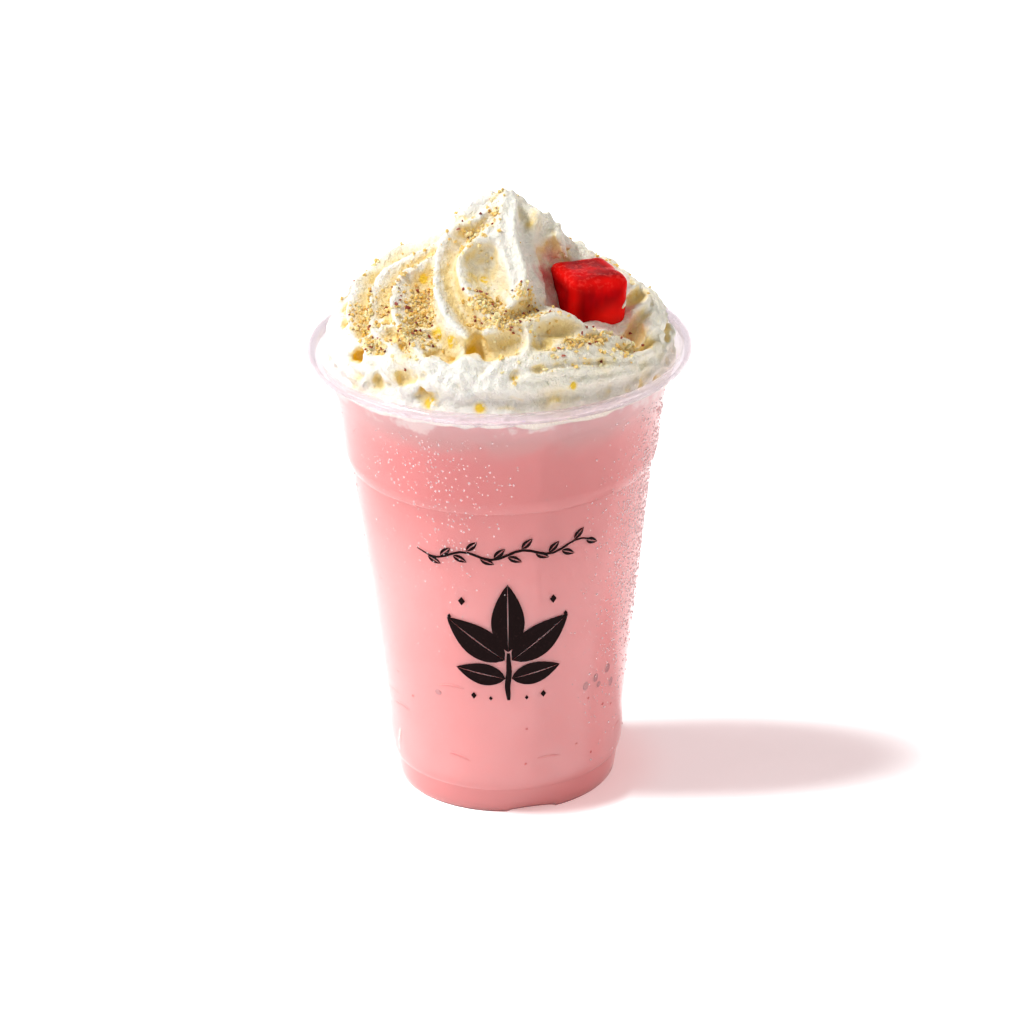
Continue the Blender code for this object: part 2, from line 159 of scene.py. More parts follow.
def turned(name, rings, sides):
    # a circle raised ring by ring; a ring of radius 0 at either end is a closed pole
    loops = [ring for ring in rings if ring[0] > 0]
    pick()
    radius, height = loops[0]
    bpy.ops.mesh.primitive_circle_add(vertices=sides, radius=radius * mm, location=(0, 0, height * mm))
    piece = bpy.context.object
    piece.name = piece.data.name = name
    bpy.ops.object.transform_apply(location=True)
    startEdit(piece)
    for (r1, z1), (r2, z2) in zip(loops, loops[1:]):
        raiseEdges((z2 - z1) * mm)
        bpy.ops.transform.resize(value=(r2 / r1, r2 / r1, 1), center_override=(0, 0, z2 * mm))
    if rings[-1][0] == 0:
        closeAt((rings[-1][1] - z2) * mm)
    if rings[0][0] == 0:
        bpy.ops.mesh.select_all(action="DESELECT")
        bm = bmesh.from_edit_mesh(piece.data)
        bm.verts.ensure_lookup_table()
        for vert in bm.verts[:sides]:
            vert.select = True
        bm.select_flush(True)
        bmesh.update_edit_mesh(piece.data)
        closeAt((rings[0][1] - height) * mm)
    bpy.ops.mesh.select_all(action="SELECT")
    bpy.ops.mesh.normals_make_consistent(inside=False)
    endEdit()
    return piece


# helpers for materials


def newMaterial(name, colour):
    material = bpy.data.materials.new(name)
    material.use_nodes = True
    material.diffuse_color = (*colour, 1.0)
    tree = material.node_tree
    surface = tree.nodes["Principled BSDF"]
    surface.inputs["Base Color"].default_value = (*colour, 1.0)
    return material, tree, surface


def feed(tree, node, inputs):
    for name, value in inputs.items():
        if isinstance(value, bpy.types.NodeSocket):
            tree.links.new(value, node.inputs[name])
        else:
            node.inputs[name].default_value = value


def put(tree, kind, inputs=(), **settings):
    made = tree.nodes.new("ShaderNode" + kind)
    for key, value in settings.items():
        setattr(made, key, value)
    feed(tree, made, dict(inputs))
    return made


def objectPlace(tree):
    return put(tree, "TexCoord").outputs["Object"]


def alongAxis(tree, axis):
    return put(tree, "SeparateXYZ", {0: objectPlace(tree)}).outputs[axis]


def mixColours(tree, factor, first, second):
    inputs = {0: factor, 6: first, 7: second}
    inputs = {i: (*v, 1.0) if isinstance(v, tuple) and len(v) == 3 else v for i, v in inputs.items()}
    return put(tree, "Mix", inputs, data_type="RGBA").outputs[2]


def remap(tree, value, low, high, toLow=0.0, toHigh=1.0):
    inputs = {"Value": value, "From Min": low, "From Max": high, "To Min": toLow, "To Max": toHigh}
    return put(tree, "MapRange", inputs, interpolation_type="SMOOTHSTEP").outputs[0]


def overlay(tree, colour, *layers):
    # each layer is a mask and the colour it brings over the ones before
    for mask, over in layers:
        colour = mixColours(tree, mask, colour, over)
    return colour


def vectors(tree, operation, first, second=None, result=0):
    inputs = {0: first} if second is None else {0: first, 1: second}
    return put(tree, "VectorMath", inputs, operation=operation).outputs[result]


def calculate(tree, operation, first, second):
    return put(tree, "Math", {0: first, 1: second}, operation=operation, use_clamp=True).outputs[0]


def times(tree, first, second):
    return calculate(tree, "MULTIPLY", first, second)


def greater(tree, first, second):
    return calculate(tree, "MAXIMUM", first, second)


def soften(tree, surface, weight, scale, radius=None):
    # light that enters comes out again close by, within the scale in metres
    feed(tree, surface, {"Subsurface Weight": weight, "Subsurface Scale": scale})
    if radius:
        surface.inputs["Subsurface Radius"].default_value = radius


def attribute(tree, name):
    return put(tree, "Attribute", attribute_name=name).outputs["Fac"]


def makeMottle():
    # a soft cloudy mask in object space, used by most of the finishes
    tree = bpy.data.node_groups.new("mottle", "ShaderNodeTree")
    for name, value in (("Scale", 200.0), ("Detail", 3.0), ("Low", 0.4), ("High", 0.6)):
        socket = tree.interface.new_socket(name, in_out="INPUT", socket_type="NodeSocketFloat")
        socket.default_value = value
    tree.interface.new_socket("Mask", in_out="OUTPUT", socket_type="NodeSocketFloat")
    tree.interface.new_socket("Height", in_out="OUTPUT", socket_type="NodeSocketFloat")
    given = tree.nodes.new("NodeGroupInput").outputs
    result = tree.nodes.new("NodeGroupOutput")
    cloud = put(tree, "TexNoise", {"Vector": objectPlace(tree), "Scale": given["Scale"],
                                   "Detail": given["Detail"], "Roughness": 0.6}).outputs[0]
    feed(tree, result, {"Mask": remap(tree, cloud, given["Low"], given["High"]), "Height": cloud})
    return tree


mottleGroup = makeMottle()


def mottle(tree, scale, detail=3.0, low=0.4, high=0.6):
    return put(tree, "Group", {"Scale": scale, "Detail": detail, "Low": low, "High": high},
               node_tree=mottleGroup).outputs


def addBump(tree, surface, *layers):
    # each layer is a height, its strength and its depth in mm, laid over the one before
    normal = None
    for height, strength, depth in layers:
        inputs = {"Height": height, "Strength": strength, "Distance": depth * mm}
        if normal:
            inputs["Normal"] = normal
        normal = put(tree, "Bump", inputs).outputs[0]
    tree.links.new(normal, surface.inputs["Normal"])


clearTint = (0.97, 0.97, 0.97)


def letLightThrough(tree, surface, tint=clearTint, share=0.0):
    # lamps reach what stands behind plastic or water, and a share of the view comes straight through
    rays = greater(tree, put(tree, "LightPath").outputs["Is Shadow Ray"], share)
    tint = (*tint, 1.0) if isinstance(tint, tuple) else tint
    open_ = put(tree, "BsdfTransparent", {"Color": tint}).outputs[0]
    mixed = put(tree, "MixShader", {0: rays, 1: surface.outputs[0], 2: open_}).outputs[0]
    output = next(node for node in tree.nodes if node.type == "OUTPUT_MATERIAL")
    tree.links.new(mixed, output.inputs["Surface"])


def finish(piece, material, angle=None):
    piece.data.materials.clear()
    piece.data.materials.append(material)
    pick(piece)
    if angle is None:
        bpy.ops.object.shade_smooth()
    else:
        bpy.ops.object.shade_smooth_by_angle(angle=math.radians(angle))
    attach(piece, "root")
    return piece


# the cup: outer radii of the wall at each height, in millimetres as all sizes here
cup = {
    "sides": 192, "wall": 0.5, "height": 121.0, "rimRadius": 48.99, "lipRoll": 1.45,
    "flare": [(42.1, 109.0), (44.1, 114.0), (45.05, 116.5), (45.85, 118.5), (46.35, 119.5)],
    "shoulderRadius": 38.7, "shoulderHeight": 90.0, "shoulderStep": 1.55, "shoulderRise": 4.2,
    "shoulderLedge": 0.45, "waistRadius": 31.1, "waistHeight": 20.0, "bandRadius": 29.6, "bandHeight": 7.1,
    "base": [(0, 1.6), (13, 1.6), (24.6, 1.6), (25.8, 1.5), (26.5, 1.0), (26.9, 0.35), (27.3, 0.08),
             (27.8, 0.0), (28.3, 0.12), (28.6, 0.55)],
    "notches": 3, "notchAzimuth": 283.0, "notchSpread": 13.0, "notchRise": 1.0,
    "notchFrom": (24.0, 26.5), "notchBelow": (5.0, 0.5),
    "colour": (0.965, 0.945, 0.95), "lipShadeTint": (0.92, 0.87, 0.895), "lipZone": (0.1085, 0.1165),
    "lipShadeThrough": (0.94, 0.905, 0.925), "lipOpen": 0.5, "clear": 0.035, "fogged": (0.10, 0.22), "ior": 1.46,
}


def wallRings():
    step, tuck = [], []
    ledge = cup["shoulderLedge"]
    for i in range(11):
        share = math.sin(math.pi / 2 * i / 10)
        step.append((cup["shoulderRadius"] + ledge + (cup["shoulderStep"] - ledge) * share,
                     cup["shoulderHeight"] + cup["shoulderRise"] * i / 10))
    step[:0] = [(cup["shoulderRadius"] - 0.02, cup["shoulderHeight"] - 0.5),
                (cup["shoulderRadius"] + 0.05, cup["shoulderHeight"] - 0.22)]
    out, rise = cup["waistRadius"] - cup["bandRadius"], cup["waistHeight"] - cup["bandHeight"]
    for t in (0.0, 0.12, 0.25, 0.4, 0.55, 0.7, 0.85, 1.0):
        swell = math.sin(math.pi / 2 * t)
        tuck.append((cup["bandRadius"] + out * swell, cup["bandHeight"] + rise * t ** 2))
    return [*tuck, *step, *cup["flare"]]


wall = wallRings()


def wallRadius(height, inset=0.0):
    return float(np.interp(height, [z for r, z in wall], [r for r, z in wall])) - inset


def raiseNotches(places):
    # shallow arches in the foot ring, in the shell and in the milk that fills it
    around = np.degrees(np.arctan2(places[:, 1], places[:, 0]))
    ring = fade(np.hypot(places[:, 0], places[:, 1]) / mm, *cup["notchFrom"])
    ring *= fade(places[:, 2] / mm, *cup["notchBelow"])
    for k in range(cup["notches"]):
        off = (around - cup["notchAzimuth"] - 360 / cup["notches"] * k + 540) % 360 - 180
        bow = np.where(np.abs(off) < cup["notchSpread"], np.cos(math.pi / 2 * off / cup["notchSpread"]), 0)
        places[:, 2] += cup["notchRise"] * mm * np.sqrt(np.clip(bow, 0, 1)) * ring


def makeCup():
    curl = cup["lipRoll"] - cup["wall"]  # the inner side of the rolled sheet
    middle = (cup["rimRadius"] - cup["lipRoll"], cup["height"] - cup["lipRoll"])
    roll = [(middle[0] + curl * math.cos(math.radians(a)), middle[1] + curl * math.sin(math.radians(a)))
            for a in range(150, -121, -18)]
    foot = [(np.interp(z, [0.55, 7.1], [28.6, 29.6]), z) for z in (2.5, 5.0)]
    straight = [(wallRadius(z), z) for z in range(30, 89, 10)]
    rings = sorted({*wall, *straight}, key=lambda ring: ring[1])
    shell = turned("cupShell", [*cup["base"], *foot, *rings, *roll], cup["sides"])
    faces = [face for face in shell.data.polygons if 0.04 < face.center.z < 0.08]
    if faces[0].normal.dot(faces[0].center * Vector((1, 1, 0))) < 0:
        shell.data.flip_normals()
    addModifier(shell, "SOLIDIFY", thickness=cup["wall"] * mm, offset=-1.0, use_even_offset=True)
    applyModifiers(shell)
    places = points(shell)
    raiseNotches(places)
    movePoints(shell, places)

    material, tree, surface = newMaterial("clearPlastic", cup["colour"])
    fog = remap(tree, mottle(tree, 60.0, 4.0)["Height"], 0.35, 0.7, *cup["fogged"])
    lip = remap(tree, alongAxis(tree, 2), *cup["lipZone"])
    # painted shade: the rolled lip is tinted lilac grey, shade tinged pink by the drink seen through it,
    # and the straight-through view takes the same tint
    tint = mixColours(tree, lip, cup["colour"], cup["lipShadeTint"])
    fog = greater(tree, times(tree, fog, calculate(tree, "SUBTRACT", 1.0, lip)), cup["clear"])
    feed(tree, surface, {"Transmission Weight": 1.0, "IOR": cup["ior"],
                         "Base Color": tint, "Roughness": fog})
    addBump(tree, surface, (mottle(tree, 45.0, 1.0)["Height"], 0.25, 0.25))
    through = mixColours(tree, lip, clearTint, cup["lipShadeThrough"])
    letLightThrough(tree, surface, through, times(tree, lip, cup["lipOpen"]))
    finish(shell, material, 40)
    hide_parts("cup")
    return shell


cupShell = makeCup()
print("cup shell ready:", len(cupShell.data.polygons), "faces")

# the milk reaches just into the wall, so that it wets it
milkLook = {
    "sides": 160, "inset": 0.36, "top": 115.6, "wave": 0.9, "floor": 2.0,
    "foot": [(26.3, 1.7), (27.0, 0.9), (27.5, 0.45), (28.0, 0.5), (28.35, 1.0), (28.7, 3.0), (29.0, 5.0)],
    "colour": (0.875, 0.35, 0.345), "deep": (0.85, 0.31, 0.305), "pale": (0.885, 0.385, 0.38),
    "shadedTop": (0.76, 0.235, 0.23), "upperFrom": (0.055, 0.098), "upperTo": (0.135, 0.10),
    "footShade": (0.78, 0.19, 0.185), "footShadeZone": (0.0105, 0.006),
    "haze": (0.66, 0.38, 0.37), "foam": (0.80, 0.64, 0.60), "foamZone": (0.100, 0.1155),
}


def makeMilk():
    inset, top, floor = milkLook["inset"], milkLook["top"], milkLook["floor"]
    heights = {98.0, 103.0, 107.0, 110.5, 112.5, 114.3}
    heights = sorted({ring[1] for ring in wall if ring[1] < 112} | set(range(26, 90, 8)) | heights)
    side = [(wallRadius(z, inset), z) for z in heights]
    base = [(0, floor), (12, floor), (24.8, floor), *milkLook["foot"]]
    rim = wallRadius(top, inset)
    level = [(radius, top) for radius in (rim, rim - 1.2, 30, 14, 0)]
    milk = turned("milk", [*base, *side, *level], milkLook["sides"])
    places = points(milk)
    for i in np.nonzero(places[:, 2] > 115 * mm)[0]:
        sway = noise.noise(Vector(places[i]) * 150) + 0.6 * noise.noise(Vector(places[i]) * 430)
        places[i, 2] = top * mm + sway * milkLook["wave"] * mm
        reach = math.hypot(places[i, 0], places[i, 1])
        if reach > 40 * mm:
            held = wallRadius(places[i, 2] / mm, inset) * mm - (0 if reach > rim * mm - 0.0006 else 0.0012)
            places[i, :2] *= held / reach
    raiseNotches(places)
    movePoints(milk, places)

    material, tree, surface = newMaterial("pinkMilk", milkLook["colour"])
    height = alongAxis(tree, 2)
    swirl = mottle(tree, 26.0, 3.0, 0.38, 0.66)["Mask"]
    deep = times(tree, mottle(tree, 40.0, 2.0, 0.5, 0.75)["Mask"], 0.6)
    # painted shade: the milk is darker in its upper part, under the rim and the cream
    shadedTop, ending = (remap(tree, height, *milkLook[name]) for name in ("upperFrom", "upperTo"))
    shadedTop = times(tree, shadedTop, ending)
    # painted shade: the milk turns a deeper red at the very bottom
    foot = remap(tree, height, *milkLook["footShadeZone"], 0.0, 0.5)
    rising = remap(tree, height, *milkLook["foamZone"])
    cloud = calculate(tree, "ADD", rising, mottle(tree, 90.0, 3.0, 0.3, 0.8)["Mask"])
    haze = remap(tree, times(tree, rising, cloud), 0.05, 1.0, 0.0, 0.8)
    froth = times(tree, mottle(tree, 120.0, 4.0)["Height"], 0.62)
    foam = remap(tree, calculate(tree, "ADD", times(tree, rising, 0.42), froth), 0.72, 0.78, 0.0, 0.85)
    colour = overlay(tree, milkLook["colour"], (swirl, milkLook["pale"]), (deep, milkLook["deep"]),
                     (shadedTop, milkLook["shadedTop"]), (foot, milkLook["footShade"]), (haze, milkLook["haze"]),
                     (foam, milkLook["foam"]))
    feed(tree, surface, {"Base Color": colour, "Roughness": remap(tree, swirl, 0, 1, 0.32, 0.5)})
    soften(tree, surface, 0.35, 0.004, (1.0, 0.5, 0.45))
    addBump(tree, surface, (mottle(tree, 900.0, 2.0)["Height"], 0.1, 0.1))
    finish(milk, material, 50)
    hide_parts("drink")
    return milk


milk = makeMilk()
print("milk ready:", len(milk.data.polygons), "faces")

# the piped cream: each fold runs down the mound as azimuth, radius, crest height and thickness
folds = {
    "peakFront": [(335, 2.5, 162.7, 2.2), (284, 6.3, 159.6, 4.4), (273, 12.8, 155, 5.6),
                  (277, 17, 150.8, 6.2), (280, 22.5, 146.4, 6), (278, 27, 143, 5), (272, 30, 140.4, 3.4)],
    "peakEdge": [(345, 4, 162.0, 2.3), (306, 8, 159.6, 3.5), (288, 12.9, 156.8, 4), (288, 16.5, 153, 4.2),
                 (288, 20.5, 149.2, 4.2), (285, 25, 145.7, 4), (277, 28.5, 143, 3.5)],
    "hollowTop": [(238, 14.8, 152.8, 2), (250, 14.6, 153.8, 3.4), (263, 13.6, 154.8, 3.4),
                  (275, 12.6, 155.6, 2)],
    "peakFill": [(312, 4, 161.6, 3), (286, 9.5, 157.2, 5), (281, 14.5, 153, 5.6), (284, 18.5, 149.4, 5.6),
                 (284, 23, 146, 5), (280, 27.5, 142.8, 4)],
    "peakHood": [(165, 1.0, 162.0, 1.5), (184, 4.3, 160.5, 2.4), (192, 7.5, 158.6, 2.8),
                 (200, 10, 156.8, 2.4)],
    "peakRight": [(30, 4.0, 161.5, 1.6), (16, 6.8, 159.5, 3.2), (8, 9.8, 157.6, 4), (2, 13.2, 156.2, 4.4),
                  (358, 15.8, 153.8, 4.4), (356, 16.8, 150.2, 4), (355, 17.5, 146, 2.6)],
    "leftCrest": [(245, 5, 158.8, 2), (232, 9, 157, 3.2), (217, 13, 155.7, 4.2), (213, 14.6, 154, 4.4),
                  (211.5, 17, 151, 4.6), (221, 20.8, 147.8, 4.6), (230, 24.8, 145.5, 4.6),
                  (238, 28.7, 143, 4.6), (244, 31.5, 141, 4.5), (251, 34.2, 138.6, 4), (258, 36, 136.5, 3)],
    "hollowLip": [(262, 10, 156.5, 2.5), (248, 14.7, 153.7, 3.4), (241, 16.5, 151.9, 3.8),
                  (238, 18.7, 149.6, 4.2), (243, 21.8, 147.4, 4.6), (252, 25.8, 145, 4.8),
                  (260, 29.2, 142.7, 4.8), (267, 32.2, 140.5, 4.5), (273, 34.5, 138.5, 3.5)],
    "leftSweep": [(222, 10, 156.5, 3), (213, 14.5, 154, 4), (203, 18, 150, 4.8), (194, 22.7, 146.8, 5.4),
                  (190, 27, 144.4, 5.8), (191, 30.5, 142.2, 6), (197, 33.5, 139.6, 6),
                  (206, 36, 137.2, 5.6), (216, 39, 134, 5), (227, 40.6, 131.6, 4.6),
                  (240, 41.5, 129.5, 3.5)],
    "leftInner": [(211, 18.5, 148.5, 3.6), (207, 22.4, 146.2, 4.6), (203, 26, 144.2, 5),
                  (209, 30.3, 141.5, 5), (220, 34.5, 138.2, 4.6), (231, 37.5, 135, 4), (241, 39.5, 132, 3)],
    "backLeft": [(178, 9, 154.5, 3.5), (166, 16, 149.5, 4.8), (157, 22, 147, 5.4), (158, 27, 145, 6),
                 (165, 31, 142.6, 6.2), (174, 34.5, 140, 6), (184, 37, 137.5, 5.6), (195, 39.5, 134.5, 5),
                 (206, 41.5, 131, 4)],
    "leftRim": [(150, 36.5, 133, 4.5), (165, 38, 132, 5), (180, 39.4, 130.8, 5.2), (191, 42.4, 127.6, 5),
                (200, 43.8, 125.5, 4.6), (211, 44, 125, 4.2), (223, 43.5, 126, 3.6)],
    "leftLow": [(166, 43.3, 127, 3.4), (182, 44, 125.5, 4), (194, 44.3, 123, 4), (208, 44.3, 122.5, 3.6)],
    "frontBand": [(215, 42.5, 128, 3), (228, 42, 129.8, 4.2), (241, 41.6, 130.4, 4.4),
                  (249, 42.5, 128.2, 4.4), (258, 42.2, 129, 4.2), (268, 42.8, 127.7, 4),
                  (280, 43.4, 126, 3.4)],
    "ledge": [(262, 34.5, 137, 2.6), (270, 34, 139, 3.8), (282, 33.7, 139.3, 4.2), (293, 32.3, 140, 4),
              (301, 32.8, 138.8, 3.4), (309, 35.4, 136.2, 3.2), (316, 38, 133.4, 3.2),
              (326, 40.5, 130.3, 3.2)],
    "ledgeTurn": [(279, 32.5, 139.3, 3), (282, 35.5, 137.4, 3.2), (281, 38, 134.9, 3.2),
                  (278, 39.8, 132.7, 2.6)],
    "rightSweep": [(262, 40, 129.5, 2.6), (271, 39.8, 132.2, 4), (284, 39.8, 133.2, 4.8),
                   (296, 39.8, 133.2, 5), (305, 40, 132.5, 5), (314, 41.5, 130, 4.6), (322, 43.2, 127.2, 4),
                   (334, 43.8, 125.5, 3.4)],
    "rightFace": [(270, 40.9, 130.2, 3.4), (282, 41.1, 131.8, 4.6), (294, 41.2, 131.9, 4.8),
                  (304, 41.4, 131, 4.6), (314, 42.4, 128.9, 4), (327, 43.6, 126.2, 3.4)],
    "frontFill": [(276, 42.8, 128, 3.4), (288, 42.9, 129.3, 4.4), (300, 43.1, 128.9, 4.4),
                  (311, 43.5, 127.2, 4), (322, 43.9, 125.4, 3.4)],
    "rightShelf": [(290, 37.5, 134.3, 3), (299, 38, 134, 3.4), (310, 38.8, 132.2, 3.2),
                   (322, 39.6, 130.2, 3), (336, 40.5, 129.4, 3.2), (350, 41.5, 130, 4),
                   (364, 42.5, 128.5, 3.5)],
    "frontLow": [(262, 43.2, 126, 3), (275, 43.6, 126.2, 3.8), (290, 43.7, 126, 4), (305, 44, 125.2, 4.2),
                 (318, 44.2, 124.2, 4), (332, 44.3, 123.5, 3.6)],
    "rightFirst": [(20, 22, 147.7, 3.5), (10, 27, 144.8, 4.2), (4, 32, 141, 4.2), (0, 35.8, 137.4, 3.8),
                   (350, 38.6, 134, 3.2), (341, 40.5, 130.8, 2.8)],
    "rightSecond": [(28, 26, 145.2, 3.5), (16, 31, 141.9, 4.4), (8, 35, 138.4, 4.6), (2, 38.5, 134.9, 4.6),
                    (-3, 41, 131.4, 4.2), (-9, 42.8, 128, 3.6)],
    "rightThird": [(40, 30, 142, 3.8), (28, 34.5, 139, 4.4), (18, 38, 135.8, 4.4), (10, 41, 131.8, 4.2),
                   (4, 42.8, 128.5, 3.8)],
}
farFold = [(32, 5, 159.5, 2.5), (19, 9.3, 157.5, 3.6), (4, 13, 154.5, 4.4), (0, 15.5, 152, 5),
           (2, 19, 149, 5.4), (10, 24, 145.7, 5.6), (20, 29, 142.5, 5.6), (30, 33, 139, 5.4),
           (41, 37, 135, 5), (52, 40.5, 131, 4.6), (64, 42.8, 127.5, 4)]
rimFold = [(0, 42.6, 125, 3), (14, 42.8, 127.5, 4.2), (28, 43.2, 127, 4.2), (42, 43.8, 124.5, 3)]
for turn in (14, 44, 74, 104, 134):
    folds[f"far{turn}"] = [(station[0] + turn, *station[1:]) for station in farFold]
for turn in (8, 40, 72, 104, 134):
    folds[f"rim{turn}"] = [(station[0] + turn, *station[1:]) for station in rimFold]

# the mound under the folds, dents in it as x, y, width and depth, and balls of painted shade, painted glow
# and red smear as x, y, z and size
cream = {
    "mound": [(0, 158), (2, 157), (6, 152.5), (10, 148), (14, 143.5), (20, 138.5), (26, 134), (32, 130),
              (37.5, 126.3), (41.5, 122.8), (44.7, 119), (44.7, 108), (20, 108), (0, 108)],
    "dip": (27.0, -16.0, 12.0, 7.5),
    "settle": [(27, 11, 20, 4.6), (34, 13, 9, 1.8), (10, 5, 8, 1.4), (23, 20, 9, 1.8), (-17, 17, 14, 3.4),
               (-5, 7, 7, 2.0), (-30, 8, 12, 1.6), (-38, 8, 9, 1.6), (24, -22, 8, 1.6),
               (31, -17.5, 7.5, 5.5)],
    "edge": 45.6, "bottom": 109.5, "inset": 0.45, "lean": 43.0,
    "step": 1.6, "sectionPoints": 15, "fluteDepth": 0.025, "fluteGap": 0.33,
    "ridge": [(0, 0.05), (0.1, 0.14), (0.4, 0.28), (0.8, 0.52), (1.2, 0.86), (1.5, 1.25), (1.75, 1.6),
              (2.1, 1.6)],
    "voxel": 0.52, "shreds": 210, "shredSize": (1.0, 2.6), "seed": 11,
    "tornFrom": (34, 41), "tornBelow": (136, 128), "band": 311, "wholeShare": 0.2,
    "wholeAbove": (122.5, 125.5), "seatGap": -0.1, "creviceReach": 12.0, "creviceRays": 10,
    # the cream's own colour, then painted shade: a warmer side away from the key, and crevice shades that
    # deepen to gold and amber
    "colour": (0.95, 0.918, 0.835), "shadedSide": (0.955, 0.893, 0.75), "shadedSideZone": (-0.003, 0.014),
    "gleam": 0.16, "shade": (0.93, 0.75, 0.38), "deepShade": (0.88, 0.61, 0.12), "amberShadeGlow": (0.84, 0.56, 0.03),
    "dusted": (0.93, 0.72, 0.34),
    # listed pockets of painted shade in folds and valleys, as x, y, z and size
    "shadePockets": [(-7.2, -15, 149.5, 5), (-7, -19, 145.5, 4), (-5, -22, 143.4, 3), (-17, -8.5, 148, 3.5),
             (-18.3, -11, 143, 3), (5.1, -32.1, 139, 3), (8.7, -34.9, 133.9, 4), (12.5, -33.5, 133.5, 4),
             (2.5, -33.2, 133.4, 4), (-6, -34, 134.5, 3.5), (18.5, -33.3, 133.6, 2.6),
             (24.8, -29.5, 132.2, 2.6), (31.1, -25, 131.3, 2.6), (8.5, -5, 154.5, 3),
             (11.7, -6.3, 147.7, 4), (13, -10.5, 144.5, 5), (-8.5, -8, 154, 3), (-2, -9, 156.5, 2),
             (-26, 6, 142, 6), (-31, 1, 138.5, 5), (-36, -27, 120.5, 3), (-31, -30, 121.8, 3),
             (-26, -33.4, 125.9, 2.6), (35.5, -26.3, 122.6, 4), (13.8, -42.1, 122, 4),
             (-23.8, -33.8, 130.6, 3), (24.6, -34, 128, 3.6), (37.1, -16.6, 124.5, 4),
             (34.8, -3.3, 132.4, 3.5)],
    # balls of painted glow, where deep pockets seem to shine amber, as x, y, z and size
    "glow": [(-3.6, -16.8, 144.1, 1.5), (-17.8, -19.5, 137.3, 2.0), (-18.7, -23.5, 134.8, 2.0),
             (-15.2, -27.1, 134.1, 2.2), (-11.7, -31.5, 133.7, 2.2), (-18.6, -11.3, 142.5, 1.8),
             (-17.3, -39.4, 120.9, 2.0), (-5.1, -43, 120.8, 1.6), (17.8, -40.1, 125.1, 1.5),
             (3.6, -41.3, 127.4, 1.3), (13, 30, 133, 2.4), (-20, 28, 134, 2.2)],
    "blush": (0.93, 0.44, 0.36), "blushReach": 5.0, "smear": [(12.0, -11.0, 143.5, 4.8)],
    "smearColour": (0.72, 0.09, 0.09),
}

# the jelly cube, sunk into the right of the heap
jelly = {
    "side": 15.9, "tall": 1.11, "round": 2.4, "place": (22.0, -9.0, 134.9), "turn": (3.0, 4.0, 24.0),
    "voxel": 0.4, "uneven": 0.7, "grain": 0.12, "thin": 3.2, "upperFrom": (5.5, 8.0),
    "ior": 1.38, "specular": 0.03,
    # painted light: a bright spot near the lower right corner, and bright red along the thin edges
    "glow": (0.0285, -0.0155, 0.1295), "glowFrom": 0.0095, "glowFull": 0.003,
    "dark": (0.24, 0.0, 0.001), "red": (0.68, 0.0, 0.002), "paintedLightRed": (1.0, 0.012, 0.008),
    "frostAndSheen": (0.95, 0.10, 0.08),
}


def between(a, b, c, d, t):
    # the value a share t of the way from b to c on a smooth curve
    square, cube = 2 * a - 5 * b + 4 * c - d, 3 * b - a - 3 * c + d
    return 0.5 * (2 * b + (c - a) * t + square * t ** 2 + cube * t ** 3)


def alongFold(stations, step):
    ends = [stations[0], *stations, stations[-1]]
    found = []
    for before, start, end, after in zip(ends, ends[1:], ends[2:], ends[3:]):
        pieces = max(2, round((aroundCup(*end[:3]) - aroundCup(*start[:3])).length / step))
        for i in range(pieces):
            found.append([between(*values, i / pieces) for values in zip(before, start, end, after)])
    return [*found, list(stations[-1])]


def moundNormal(place):
    reach = math.hypot(place.x, place.y)
    slope = math.radians(min(cream["lean"], 9 * reach) + 2 * max(0, reach - 39))
    turn = math.atan2(place.y, place.x)
    return Vector((math.sin(slope) * math.cos(turn), math.sin(slope) * math.sin(turn), math.cos(slope)))


def nozzleSection():
    # a ridge with hollow sides, narrow at the crest, that every fold carries along its path
    section = bpy.data.curves.new("nozzle", "CURVE")
    section.dimensions = "2D"
    spline = section.splines.new("POLY")
    deep = np.linspace(0.0, cream["ridge"][-1][0], cream["sectionPoints"])
    wide = np.interp(deep, *zip(*cream["ridge"]))
    wide += cream["fluteDepth"] * np.sin(2 * math.pi * deep / cream["fluteGap"]) * np.clip(deep * 4, 0, 1)
    right = list(zip(wide, -deep))
    outline = right + [(-x, y) for x, y in reversed(right[1:])]
    spline.points.add(len(outline) - 1)
    for point, (x, y) in zip(spline.points, outline):
        point.co = (x, y, 0, 1)
    spline.use_cyclic_u = True
    guide = bpy.data.objects.new("nozzle", section)
    bpy.context.scene.collection.objects.link(guide)
    return guide


def pipeFold(name, stations, section):
    stops = alongFold(stations, cream["step"])
    places = [aroundCup(*stop[:3]) for stop in stops]
    curve = bpy.data.curves.new(name, "CURVE")
    curve.dimensions = "3D"
    curve.twist_mode = "Z_UP"
    curve.bevel_mode = "OBJECT"
    curve.bevel_object = section
    curve.use_fill_caps = True
    spline = curve.splines.new("POLY")
    spline.points.add(len(stops) - 1)
    last = len(stops) - 1
    for i, (place, stop) in enumerate(zip(places, stops)):
        along = (places[min(i + 1, last)] - places[max(i - 1, 0)]).normalized()
        out = moundNormal(place)
        out = (out - out.dot(along) * along).normalized()
        up = (upward - along.z * along).normalized()
        spline.points[i].co = (*(place * mm), 1.0)
        spline.points[i].radius = stop[3] * mm
        spline.points[i].tilt = math.atan2(up.cross(out).dot(along), up.dot(out))
    fold = bpy.data.objects.new(name, curve)
    bpy.context.scene.collection.objects.link(fold)
    pick(fold)
    bpy.ops.object.convert(target="MESH")
    return bpy.context.object


